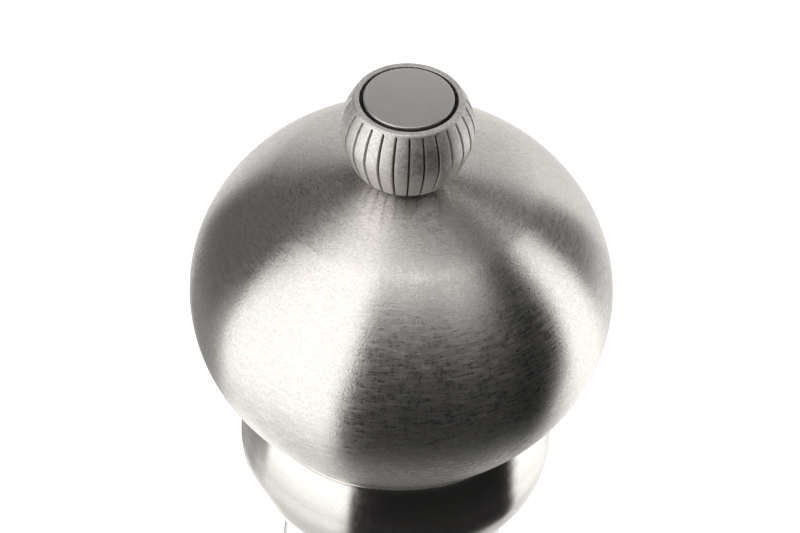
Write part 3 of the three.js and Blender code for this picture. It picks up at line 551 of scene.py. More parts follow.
# Each knob vertex's groove depth, which the satin finish uses to paint shade into the grooves.
GROOVE = "groove_depth"
TURNING_LINES = shader_group(
    "turning_lines", {"Lines": 4800.0, "Spread": 16.0}, ("Height", "Scratches", "Cloud"), build_turning_lines
)
SPECKS = shader_group("specks", {"Cells": 2600.0, "Share": 0.02}, ("Mask",), build_specks)
FINE_GRAIN = shader_group("fine_grain", {"Grains": 3800.0}, ("Height", "Sparkle", "Cloud"), build_grain)


def new_material(name: str) -> tuple[bpy.types.Material, Nodes, Node]:
    """A material, its tree and its shader."""
    material = bpy.data.materials.new(name)
    material.use_nodes = True
    return material, Nodes(material.node_tree), material.node_tree.nodes["Principled BSDF"]


class Grain(Enum):
    """How a metal surface was worked."""

    TURNED = "turned"
    BLASTED = "blasted"


@dataclass(frozen=True)
class Metal:
    """A metal finish.

    Attributes:
        name: The material's name.
        colour: Base colour as linear red, green and blue.
        roughness: Roughness of the smooth places.
        grain: How the surface was worked.
        stretch: Anisotropy of a turned surface.
        relief: Depth of the lines or the grain, in metres.
        specks: Share of cells that hold a pit.
        weave: Depth of the fine grain between the lines, in metres.
        mottle: How much the grain's light and dark places differ.
        glint: How much rougher the light places are, so that they catch more of what is bright.
    """

    name: str
    colour: tuple[float, float, float]
    roughness: float
    grain: Grain = Grain.TURNED
    stretch: float = 0.0
    relief: float = 1e-6
    specks: float = 0.0
    weave: float = 1e-6
    mottle: float = 0.1
    glint: float = 0.0

    def shade(self, factor: float) -> tuple[float, ...]:
        """The base colour made lighter or darker."""
        return (*(min(1.0, c * factor) for c in self.colour), 1.0)

    def tones(self, nodes: Nodes, share: Socket) -> Socket:
        """The base colour between its dark and its light tone."""
        return nodes.blend_colour(share, self.shade(1 - self.mottle), self.shade(1 + self.mottle))

    @cache
    def material(self) -> bpy.types.Material:
        """The finish as a material, built at its first use."""
        material, nodes, shader = new_material(self.name)
        dress = self.blasted if self.grain is Grain.BLASTED else self.lined
        nodes.fill(shader, {"Metallic": 1.0} | dress(nodes))
        return material

    def lined(self, nodes: Nodes) -> dict[str, object]:
        """The shader's inputs for lines round the axis, with the highlight stretched across them."""
        lines, grain = nodes.group(TURNING_LINES), nodes.group(FINE_GRAIN)
        specks = nodes.group(SPECKS, Share=self.specks)[0]
        streaks = nodes.remap(lines["Height"], 0.34, 0.8)
        grains = nodes.remap(grain["Height"], 0.24, 0.76)
        glint = nodes.math("MULTIPLY_ADD", grains, 0.5, nodes.math("MULTIPLY", streaks, 0.5))
        bright = nodes.math("MULTIPLY", lines["Scratches"], 0.7)
        tone = nodes.blend_colour(bright, self.tones(nodes, glint), self.shade(1 + 2 * self.mottle))
        rough = nodes.math("MULTIPLY_ADD", lines["Cloud"], 0.04, self.roughness - 0.02 - 0.3 * self.glint)
        for lighter in (streaks, lines["Scratches"]):
            rough = nodes.math("MULTIPLY_ADD", lighter, self.glint, rough)
        weave = nodes.bump(grain["Height"], self.weave)
        relief = nodes.bump(nodes.math("SUBTRACT", lines["Height"], specks), self.relief, Normal=weave)
        inputs = {"Base Color": tone, "Roughness": rough, "Normal": relief}
        if self.stretch:
            way = nodes.add(
                "VectorTransform",
                {0: nodes.vector("CROSS_PRODUCT", (0, 0, 1), nodes.place())},
                vector_type="VECTOR",
                convert_from="OBJECT",
                convert_to="WORLD",
            )
            inputs |= {"Anisotropic": self.stretch, "Anisotropic Rotation": 0.25, "Tangent": way.outputs[0]}
        return inputs

    def blasted(self, nodes: Nodes) -> dict[str, object]:
        """The shader's inputs for an even satin surface, with painted shade in its grooves."""
        grain = nodes.group(FINE_GRAIN)
        tone = nodes.blend_colour(0.35, self.tones(nodes, grain["Sparkle"]), self.tones(nodes, grain["Cloud"]))
        # Painted shade: the base colour goes nearly black with the groove's depth, in place of the shade deep in the
        # grooves.
        groove = nodes.add("Attribute", attribute_name=GROOVE).outputs["Fac"]
        return {
            "Base Color": nodes.blend_colour(nodes.remap(groove, 0.3, 0.95, 0.0, 0.7), tone, self.shade(0.05)),
            "Roughness": nodes.math("MULTIPLY_ADD", grain["Cloud"], 0.06, self.roughness - 0.03),
            "Normal": nodes.bump(grain["Height"], self.relief),
        }


@dataclass(frozen=True)
class Moulded:
    """A rubber or plastic finish.

    Attributes:
        name: The material's name.
        colour: Base colour as linear red, green and blue.
        roughness: Roughness of the surface.
        gloss: How strongly the surface reflects.
    """

    name: str
    colour: tuple[float, float, float]
    roughness: float
    gloss: float = 0.5

    @cache
    def material(self) -> bpy.types.Material:
        """The finish as a material, built at its first use."""
        material, nodes, shader = new_material(self.name)
        grain = nodes.group(FINE_GRAIN, Grains=4000.0)
        pale = tuple(min(1.0, c * 1.15 + 0.004) for c in self.colour)
        inputs = {
            "Specular IOR Level": self.gloss,
            "Base Color": nodes.blend_colour(grain["Cloud"], (*self.colour, 1), (*pale, 1)),
            "Roughness": nodes.math("MULTIPLY_ADD", grain["Cloud"], 0.08, self.roughness - 0.04),
            "Normal": nodes.bump(grain["Height"], 2e-6),
        }
        nodes.fill(shader, inputs)
        return material


STEEL = (0.63, 0.603, 0.575)
FINISHES: dict[str, Metal | Moulded] = {
    "head_steel": Metal(
        "brushed_dome", STEEL, 0.3, stretch=0.95, relief=10e-6, specks=0.02, weave=13e-6, mottle=0.2, glint=0.1
    ),
    "body_steel": Metal("brushed_body", STEEL, 0.21, stretch=0.8, relief=3e-6, weave=2e-6, mottle=0.06),
    "knob_steel": Metal("blasted_knob", (0.62, 0.6, 0.575), 0.54, Grain.BLASTED, relief=11e-6, mottle=0.18),
    "cap_steel": Metal("satin_cap", (0.52, 0.503, 0.495), 0.44, Grain.BLASTED, relief=2e-6, mottle=0.03),
    "machined_steel": Metal("machined_steel_lines", (0.56, 0.565, 0.57), 0.28, stretch=0.6, relief=2e-6),
    "blade_steel": Metal("stamped_blade", (0.66, 0.67, 0.68), 0.22),
    "spring_steel": Metal("drawn_wire", (0.42, 0.43, 0.44), 0.3, Grain.BLASTED),
    "bush_brass": Metal("turned_brass", (0.58, 0.4, 0.15), 0.3, stretch=0.5, relief=2e-6),
    "black_rubber": Moulded("seal_rubber", (0.006, 0.006, 0.006), 0.45, 0.12),
    "dark_plastic": Moulded("moulded_dark", (0.02, 0.021, 0.024), 0.5),
    "pale_nylon": Moulded("moulded_nylon", (0.62, 0.59, 0.5), 0.45),
}


# Screws


class Drive(Enum):
    """How a screw is turned, as the turns of the slots in its head."""

    SLOT = (0.4,)
    CROSS = (0.3, 0.3 + QUARTER)


@dataclass(frozen=True)
class Screw:
    """A small machine screw that stands on its tip.

    Attributes:
        node: A CAD node of its kind, which gives its heights and head.
        shank: Radius of its thread's crest.
        pitch: Rise of its thread.
        drive: How it is turned.
        sunk: Whether its head is countersunk, or a pan head on the surface.
    """

    node: str
    shank: float
    pitch: float
    drive: Drive
    sunk: bool

    def outline(self, bottom: float, top: float, head: float) -> Outline:
        """Its outline, from the tip up to the top of the head."""
        shank, core = self.shank, 0.8 * self.shank
        tip = path((0, bottom), (0.45 * core, bottom), (core, bottom + 0.4 * core))
        if self.sunk:
            under = top - (head - shank)
            return tip + path(
                (core, under - 0.3 * shank), (shank, under), (head, top - 0.1 * MM), (head, top), (0, top)
            )
        crown = 1.3 * shank
        seat = top - crown
        dome = bezier(8, (head, seat + 0.45 * crown), (head, seat + 0.8 * crown), (0.75 * head, top), (0, top))
        return tip + path((core, seat - 0.1 * MM), (shank, seat), (head, seat)) + dome

    def screw(self, name: str, spot: Vector = CENTRE) -> Piece:
        """The screw at a spot, with its thread and drive."""
        bottom, top, head = extent(self.node)
        piece = turned(name, self.outline(bottom, top, head), 0.08 * MM, steps=40, closed=False, bends=3)
        depth = 0.6 * self.shank
        middle = Vector((0, 0, top - depth / 2 + 0.1 * MM))
        length, width = (2.4 if self.drive is Drive.SLOT else 1.2) * head, 0.42 * self.shank
        slots = [block((length, width, depth + 0.2 * MM), middle, turn) for turn in self.drive.value]
        carved(piece, *[finished(slot, "tool") for slot in slots])
        under = top - (head - self.shank if self.sunk else 1.3 * self.shank) - 0.3 * self.shank
        ridged(piece, 0.8 * self.shank, self.shank, self.pitch, bottom + 0.3 * self.shank, under)
        return moved_to(piece, Matrix.Translation(spot))

    def three(self, stem: str, circle: float, body: str) -> None:
        """Places three such screws round the axis."""
        for i, spot in enumerate(thirds(circle), 1):
            stands_for(self.screw(f"{stem}_{i}", spot), f"{stem}_{i}", body, "machined_steel")


CLAMP_SCREW = Screw("clamp_screw_1", 0.8 * MM, 0.35 * MM, Drive.SLOT, True)
BRIDGE_SCREW = Screw("bridge_screw_1", 1.0 * MM, 0.4 * MM, Drive.CROSS, False)
CLAW_SCREW = Screw("claw_screw", 1.2 * MM, 0.45 * MM, Drive.SLOT, True)


# The mill


@dataclass
class Foot:
    """The foot: its ring, the rasp disc, the ring and screws that clamp it, and the seal.

    Attributes:
        outlet_radius, outlet_mouth, outlet_straight: The outlet, and how it flares to the underside.
        base_radius, bulge, tuck: The belly of the foot's side.
        shoulder: Height of the side, where the spigot starts.
        spigot_radius, recess_radius, ledge: The spigot and the recess that takes the disc.
        groove_radius, groove_half, seal_height: The seal's groove.
        tooth_rings, tooth_pitch, ring_twist: The rings of teeth, their spacing and their turn.
        hole_radius, crater_radius, tooth_height: A tooth's hole, the foot of its raised edge and its height.
    """

    outlet_radius: float = 13.5 * MM
    outlet_mouth: float = 18.1 * MM
    outlet_straight: float = 5.5 * MM
    base_radius: float = 23.1 * MM
    bulge: float = 24.6 * MM
    tuck: float = 1.6 * MM
    shoulder: float = 9.6 * MM
    spigot_radius: float = 19.6 * MM
    recess_radius: float = 17.3 * MM
    ledge: float = 7.15 * MM
    groove_radius: float = 18.35 * MM
    groove_half: float = 0.8 * MM
    seal_height: float = 12 * MM
    disc_top: float = 8 * MM
    tooth_rings: tuple[float, ...] = (9.6 * MM, 5.9 * MM, 2.2 * MM)
    tooth_pitch: float = 4.7 * MM
    ring_twist: float = 0.35
    hole_radius: float = 0.95 * MM
    crater_radius: float = 1.75 * MM
    tooth_height: float = 0.8 * MM
    clamp_bore: float = 13.3 * MM
    screw_circle: float = 15 * MM
    screw_hole: float = 0.95 * MM

    def ring(self) -> Piece:
        """The foot's ring: a rounded belly, the spigot with its groove, and the flared outlet."""
        top = extent("foot_ring")[1]
        out, side, straight = self.bulge, self.shoulder, self.outlet_straight
        belly = bezier(24, (out - self.tuck, 0), (out, 0), (out + 0.5 * MM, 0.6 * side), (self.base_radius, side))
        bore, mouth = self.outlet_radius, self.outlet_mouth
        flare = bezier(12, (bore, straight), (bore, 0.5 * straight), (0.9 * mouth, 0.2 * straight), (mouth, 0))
        spigot, groove = self.spigot_radius, self.groove_radius
        low, high = self.seal_height - self.groove_half, self.seal_height + self.groove_half
        rise = path((spigot, side), (spigot, low), (groove, low), (groove, high), (spigot, high))
        rise += path((spigot, top - 0.3 * MM), (spigot - 0.3 * MM, top), (self.recess_radius, top))
        rise += path((self.recess_radius, self.ledge), (bore, self.ledge))
        holes = pegs(thirds(self.screw_circle), self.screw_hole, 4.65 * MM, 8 * MM)
        return carved(turned("foot", [*belly, *rise, *flare], 0.25 * MM, 192), holes)

    def tooth_places(self) -> list[tuple[float, float]]:
        """Each tooth's distance from the axis and direction."""
        places = []
        for i, radius in enumerate(self.tooth_rings):
            count = round(FULL_TURN * radius / self.tooth_pitch)
            places += [(radius, i * self.ring_twist + k * FULL_TURN / count) for k in range(count)]
        return places

    def crater(self) -> Edit:
        """One punched tooth: a raised, torn edge round its hole, high behind and low in front."""
        top, height, hole, out = self.disc_top, self.tooth_height, self.hole_radius, self.crater_radius
        tip, root = top + height, top - 0.3 * MM
        handles = (0.8 * out, top), (1.2 * hole, tip - 0.5 * height)
        flank = bezier(7, (out, top - 0.02 * MM), *handles, (0.8 * hole, tip))
        bm = spun(flank + path((0.7 * hole, tip), (0.98 * hole, top), (0.99 * hole, root), (out, root)), steps=32)
        for vert in bm.verts:
            if vert.co.z > top:
                angle = math.atan2(vert.co.y, vert.co.x)
                torn = 1 - 0.14 * math.sin(4.5 * angle + 0.6) ** 2
                share = lerp(0.16, torn, smoothstep(-0.3, 0.5, -math.sin(angle)))
                vert.co.z = top + (vert.co.z - top) * share
        return bm

    def rasp(self) -> Piece:
        """The fixed disc with its rings of punched teeth."""
        bottom, _, outer = extent("grating_disc")
        plate = turned("rasp_disc", corners(0, outer, bottom, self.disc_top), 0.12 * MM, closed=False)
        places = self.tooth_places()
        spots = [Vector((r * math.cos(a), r * math.sin(a), 0)) for r, a in places]
        ends = bottom - MM, self.disc_top + MM
        holes = pegs(spots, self.hole_radius, *ends)
        carved(plate, holes, pegs(thirds(self.screw_circle), self.screw_hole, *ends))
        pattern = self.crater()
        with reworked(plate) as bm:
            for radius, angle in places:
                tooth = pattern.copy()
                place = Matrix.Rotation(angle, 4, "Z") @ Matrix.Translation((radius, 0, 0))
                bmesh.ops.transform(tooth, matrix=place, verts=tooth.verts)
                added(bm, tooth)
        pattern.free()
        return plate

    def clamp(self) -> Piece:
        """The ring that clamps the disc, with its countersunk holes."""
        bottom, top, outer = extent("disc_clamp_ring")
        ring = turned("clamp_ring", corners(self.clamp_bore, outer, bottom, top), 0.2 * MM)
        spots, hole = thirds(self.screw_circle), self.screw_hole
        sinks = pegs(spots, hole - 0.15 * MM, top - 0.85 * MM, top + 0.15 * MM, hole + 0.85 * MM)
        return carved(ring, sinks, pegs(spots, hole, bottom - MM, top - 0.6 * MM))

    def seal(self) -> Piece:
        """The rubber ring in the spigot's groove."""
        bottom, top, outer = extent("foot_seal")
        half = (top - bottom) / 2
        middle = Vector((outer - half, (bottom + top) / 2))
        turns = [i * FULL_TURN / 24 for i in range(24)]
        return turned("seal", [middle + Vector((math.cos(t), math.sin(t))) * half for t in turns], steps=192)

    def build(self) -> None:
        """Makes and places the foot's pieces."""
        stands_for(self.ring(), "foot_ring", "foot", "body_steel")
        stands_for(self.rasp(), "grating_disc", "foot", "blade_steel")
        stands_for(self.clamp(), "disc_clamp_ring", "foot", "machined_steel")
        stands_for(self.seal(), "foot_seal", "foot", "black_rubber")
        CLAMP_SCREW.three("clamp_screw", self.screw_circle, "foot")


@dataclass
class Head:
    """The brushed dome that the hand turns, its plate, the drive tube and the spring.

    Attributes:
        radius, seam_radius: At its widest line and at its lower lip.
        crown_share, underside_share: Half height over radius, above and below the widest line.
        lip_drop, skirt: Straight part of the lip, and how far it reaches down past the plate's edge.
        crown_end, neck_rise: Where the dome turns into the flare of the neck, in radii, and the flare's rise.
        edge: Thickness of the skirt.
        flange_height, register_rise, hub_hole: The plate's steps, and its square hole.
        coil_radius, coil_turns, end_pitch: The spring.
    """

    radius: float = 28 * MM
    seam_radius: float = 20 * MM
    wall: float = 1.2 * MM
    crown_share: float = 0.83
    underside_share: float = 0.86
    lip_drop: float = 0.6 * MM
    skirt: float = 0.7 * MM
    crown_end: float = 0.62
    neck_rise: float = 3.75 * MM
    neck_radius: float = 4.1 * MM
    neck_bore: float = 2.8 * MM
    edge: float = 0.6 * MM
    plate_flange: float = 19.3 * MM
    plate_register: float = 18.5 * MM
    plate_spigot: float = 16.5 * MM
    plate_hub: float = 10 * MM
    spigot_wall: float = 2 * MM
    flange_height: float = 0.8 * MM
    register_rise: float = 2 * MM
    hub_hole: float = 9.9 * MM
    tube_radius: float = 4.5 * MM
    tube_bore: float = 2.65 * MM
    tube_flange: float = 7.1 * MM
    groove_radius: float = 3.9 * MM
    stud_radius: float = 2.5 * MM
    stud_pitch: float = 0.8 * MM
    square: float = 9.6 * MM
    wire: float = 0.9 * MM
    coil_radius: float = 5.75 * MM
    coil_turns: int = 9
    end_pitch: float = 1.4 * MM
    lip: float = field(default_factory=lambda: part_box("head_shell")[0].z)
    neck_top: float = field(default_factory=lambda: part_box("head_shell")[1].z)

    @property
    def widest(self) -> float:
        """Height of the widest line."""
        half = self.radius * self.underside_share
        return self.lip + self.lip_drop + half * math.sqrt(1 - (self.seam_radius / self.radius) ** 2)

    def outside(self) -> Outline:
        """The outline from the lip over the widest line to the neck."""
        radius, end_angle, steps = self.radius, math.acos(self.crown_end), 90
        dome: Outline = []
        for i in range(steps + 1):
            angle = lerp(-math.acos(self.seam_radius / radius), end_angle, i / steps)
            share = self.underside_share if angle < 0 else self.crown_share
            dome += path((radius * math.cos(angle), self.widest + radius * share * math.sin(angle)))
        slope = Vector((-math.sin(end_angle), self.crown_share * math.cos(end_angle))).normalized()
        handle = (0.2 * radius, self.neck_top - 0.18 * self.neck_rise)
        neck = (self.neck_radius, self.neck_top)
        flare = bezier(36, dome[-1], dome[-1] + slope * 0.13 * radius, handle, neck)
        return [*path((self.seam_radius, self.lip - self.skirt)), *dome, *flare[1:]]

    def shell(self) -> Piece:
        """The dome, with its wall, its skirt and the bored neck."""
        outside = self.outside()
        inside = [p for p in inset(outside, self.wall) if p.x > self.neck_radius + self.wall]
        within = self.seam_radius - self.edge
        inside[:1] = path((within, self.lip - self.skirt), (within, self.lip), (self.seam_radius - self.wall, self.lip))
        neck = path((self.neck_bore, self.neck_top), (self.neck_bore, inside[-1].y))
        return turned("dome", [*outside, *neck, *reversed(inside)], 0.12 * MM, 256)

    def plate(self) -> Piece:
        """The plate that closes the dome, with its spigot and its square-holed hub."""
        bottom, top, _ = extent("head_plate")
        seat = extent("glide_ring")[1] + 0.05 * MM
        flange_top = seat + self.flange_height
        register_top = flange_top + self.register_rise
        spigot, bore, hub = self.plate_spigot, self.plate_spigot - self.spigot_wall, self.plate_hub
        flange, register = self.plate_flange, self.plate_register
        outline = path((self.tube_radius, seat), (bore, seat), (bore, bottom), (spigot, bottom), (spigot, seat))
        outline += path((flange, seat), (flange, flange_top), (register, flange_top), (register, register_top))
        outline += path((hub, register_top), (hub, top), (self.tube_radius, top))
        hole = block((self.hub_hole, self.hub_hole, 4 * (top - seat)), Vector((0, 0, seat)))
        return carved(turned("plate", outline, 0.2 * MM, 192), finished(hole, "tool"))

    def tube(self) -> Piece:
        """The drive tube, with its slots, flanges, clip groove, square and threaded stud."""
        bottom, top, _ = extent("drive_tube")
        low, high, _ = extent("tube_clip")
        low, high = low - 0.05 * MM, high + 0.05 * MM
        seat, end, thick = extent("shaft_bush")[1] + 0.3 * MM, extent("glide_ring")[1], 1.5 * MM
        bore, out, groove, flange = self.tube_bore, self.tube_radius, self.groove_radius, self.tube_flange
        outline = path((bore, bottom), (out, bottom), (out, low), (groove, low), (groove, high), (out, high))
        outline += path((out, seat), (flange, seat), (flange, seat + thick), (out, seat + thick))
        outline += path((out, end - thick), (flange, end - thick), (flange, end), (bore, end))
        pin_low, pin_high, _ = extent("cross_pin")
        pin = (pin_low + pin_high) / 2
        piece = carved(turned("tube", outline, 0.15 * MM), self.slot_tool(pin, pin + STROKE, 1.15 * MM))
        square_top = end + 6 * MM
        size = (self.square, self.square, square_top - end + 0.02 * MM)
        square = block(size, Vector((0, 0, (square_top + end) / 2)))
        bevel(square, [e for e in square.edges if abs(e.verts[0].co.z - e.verts[1].co.z) > MM], 0.5 * MM)
        bevel(square, [e for e in square.edges if e.calc_face_angle(0) > 0.7], 0.15 * MM)
        core, root = 0.85 * self.stud_radius, square_top - 0.5 * MM
        stud = path((0, root), (core, root), (core, top - 0.6 * MM), (0.75 * core, top), (0, top))
        with reworked(piece) as bm:
            added(bm, square)
            added(bm, spun(soften(stud, 0.15 * MM, closed=False), closed=False, steps=48))
        return ridged(piece, core, self.stud_radius, self.stud_pitch, square_top + 0.6 * MM, top - 0.4 * MM)

    def slot_tool(self, low: float, high: float, half: float) -> Piece:
        """A tool across the tube for the cross pin's round-ended slots, from its ends' middles and half width."""
        bm = bmesh.new()
        reach = self.tube_radius + MM
        turns = [i * math.pi / 8 for i in range(9)]
        upper = [(half * math.cos(t), high + half * math.sin(t)) for t in turns]
        lower = [(-half * math.cos(t), low - half * math.sin(t)) for t in turns]
        face = bm.faces.new([bm.verts.new((-reach, y, z)) for y, z in [*upper, *lower]])
        pulled = bmesh.ops.extrude_face_region(bm, geom=[face])["geom"]
        moved = [part for part in pulled if isinstance(part, bmesh.types.BMVert)]
        bmesh.ops.translate(bm, vec=(2 * reach, 0, 0), verts=moved)
        return finished(bm, "tool")

    def clip(self) -> Piece:
        """The open spring clip in the tube's groove."""
        low, high, outer = extent("tube_clip")
        opening = 2 * math.asin(1.3 * MM / (0.85 * outer))
        bm = bmesh.new()
        section = strung(bm, soften(corners(self.groove_radius + 0.1 * MM, outer, low, high), 0.12 * MM))
        rotate(bm, bm.verts, QUARTER + opening / 2)
        spin(bm, section, FULL_TURN - opening, 72)
        bmesh.ops.holes_fill(bm, edges=[edge for edge in bm.edges if edge.is_boundary])
        return finished(bm, "clip")

    def washer(self, name: str, node: str, edge: float) -> Piece:
        """A ring round the tube."""
        bottom, top, outer = extent(node)
        return turned(name, corners(self.tube_radius + 0.15 * MM, outer, bottom, top), edge)

    def spring(self) -> Piece:
        """The round-wire spring, with closed end turns."""
        low, high, _ = extent("pusher_spring")
        half = self.wire / 2
        bottom, top, middle = low + half, high - half, self.coil_turns - 2
        pitch = (top - bottom - 2 * self.end_pitch) / middle
        turns = [i * FULL_TURN / 12 for i in range(12)]
        section = path(*[(self.coil_radius + half * math.cos(t), half * math.sin(t)) for t in turns])
        return finished(swept(section, [self.end_pitch, *[pitch] * middle, self.end_pitch], bottom, 56), "spring", 60)

    def build(self) -> None:
        """Makes and places the dome and what turns with it."""
        stands_for(self.shell(), "head_shell", "head", "head_steel")
        stands_for(self.plate(), "head_plate", "head", "dark_plastic")
        stands_for(self.tube(), "drive_tube", "head", "machined_steel")
        stands_for(self.clip(), "tube_clip", "head", "spring_steel")
        thrust_ring = self.washer("thrust_ring", "thrust_washer", 0.12 * MM)
        stands_for(thrust_ring, "thrust_washer", "head", "pale_nylon")
        stands_for(self.washer("seat_ring", "spring_seat", 0.2 * MM), "spring_seat", "head", "machined_steel")
        spring = stands_for(self.spring(), "pusher_spring", "head", "spring_steel")
        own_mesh(spring)


@dataclass
class Pusher:
    """The disc, stem, pin and claws that press the nut down and turn it.

    Attributes:
        bore, boss_radius, disc_top: The disc, and the boss that centres the spring.
        claw_width, claw_shoulder, claw_taper: A claw's width, where it starts to point, and its width there.
        bend, sheet: Inner radius of a claw's bend, and the plate's thickness.
    """

    bore: float = 2.65 * MM
    boss_radius: float = 5 * MM
    disc_top: float = 18.15 * MM
    claws: int = 6
    claw_width: float = 3.2 * MM
    claw_shoulder: float = 0.3
    claw_taper: float = 0.8
    bend: float = 0.5 * MM
    sheet: float = 1 * MM

    def disc(self) -> Piece:
        """The moulded disc with its boss."""
        bottom, top, outer = extent("pusher_disc")
        outline = path((self.bore, bottom), (outer - 0.3 * MM, bottom), (outer, bottom + 0.3 * MM))
        outline += path((outer, self.disc_top), (self.boss_radius, self.disc_top))
        outline += path((self.boss_radius - 0.15 * MM, top), (self.bore, top))
        return turned("disc", outline, 0.25 * MM)

    def stem(self) -> Piece:
        """The stem that slides in the drive tube."""
        bottom, top, outer = extent("pusher_stem")
        pin_low, pin_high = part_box("cross_pin")
        piece = turned("stem", corners(0, outer, bottom, top), 0.4 * MM, 72, closed=False)
        hole = pegs([CENTRE], pin_high.y + 0.05 * MM, -5 * MM, 5 * MM)
        return carved(piece, moved_to(hole, lying((pin_low.z + pin_high.z) / 2)))

    def pin(self) -> Piece:
        """The cross pin, with rounded ends."""
        low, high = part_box("cross_pin")
        piece = turned("pin", corners(0, high.y, -high.x, high.x), 0.6 * MM, 40, closed=False)
        return moved_to(piece, lying((low.z + high.z) / 2))

    def claw(self, outer: float, tip: float, top: float) -> Edit:
        """One claw, bent down from the plate's edge and pointed.

        Args:
            outer: Radius of the claw's outer face.
            tip, top: Heights of its tip and of the plate's upper face.

        Returns:
            The claw's middle sheet, away from the axis along +X.
        """
        middle, radius, out = top - self.sheet / 2, self.bend + self.sheet / 2, outer - self.sheet / 2
        line = path((out - 2.2 * MM, middle))
        for t in (i * math.pi / 12 for i in range(7)):
            line += path((out - radius + radius * math.sin(t), middle - radius + radius * math.cos(t)))
        bent = line[-1].y
        line += path(*[(out, bent - (bent - tip) * share) for share in (0.15, self.claw_shoulder, 0.55, 0.8, 1.0)])
        half = self.claw_width / 2
        widths = [half] * (len(line) - 4) + [half * share for share in (self.claw_taper, 0.5, 0.2, 0.03)]
        bm = bmesh.new()
        bmesh.ops.create_grid(bm, x_segments=len(line) - 1, y_segments=4, size=0.5)
        rows = sorted({round(v.co.x, 5) for v in bm.verts})
        for vert in bm.verts:
            i = rows.index(round(vert.co.x, 5))
            vert.co = (line[i].x, 2 * vert.co.y * widths[i], line[i].y)
        bmesh.ops.recalc_face_normals(bm, faces=bm.faces)
        return bm

    def plate(self) -> Piece:
        """The stamped plate with its claws."""
        tip, top, outer = extent("claw_plate")
        bottom = top - self.sheet
        piece = turned("claw_disc", corners(0, outer - self.sheet, bottom, top), 0.15 * MM, closed=False)
        shank, head = 1.35 * MM, extent("claw_screw")[2] + 0.15 * MM
        sink = pegs([CENTRE], head, bottom, bottom + head - shank, shank)
        carved(piece, sink, pegs([CENTRE], shank, bottom - MM, top + MM))
        with reworked(piece) as bm:
            for i in range(self.claws):
                sheet = finished(self.claw(outer, tip, top - 0.01 * MM), "claw")
                wall = sheet.modifiers.new("wall", "SOLIDIFY")
                wall.thickness, wall.offset = self.sheet - 0.03 * MM, 0
                carved(sheet, edge=0.1 * MM)
                moved_to(sheet, Matrix.Rotation(i * FULL_TURN / self.claws, 4, "Z"))
                bm.from_mesh(sheet.data)
                bpy.data.objects.remove(sheet)
        return piece

    def screw(self) -> Piece:
        """The countersunk screw that holds the claw plate, head down."""
        low, high, _ = extent("claw_screw")
        head_down = Matrix.Translation((0, 0, low + high)) @ Matrix.Diagonal((1, -1, -1, 1))
        return moved_to(CLAW_SCREW.screw("claw_screw_1"), head_down)

    def build(self) -> None:
        """Makes and places the pusher's pieces."""
        stands_for(self.disc(), "pusher_disc", "pusher", "dark_plastic")
        stands_for(self.stem(), "pusher_stem", "pusher", "machined_steel")
        stands_for(self.pin(), "cross_pin", "pusher", "spring_steel")
        stands_for(self.plate(), "claw_plate", "pusher", "blade_steel")
        stands_for(self.screw(), "claw_screw", "pusher", "machined_steel")


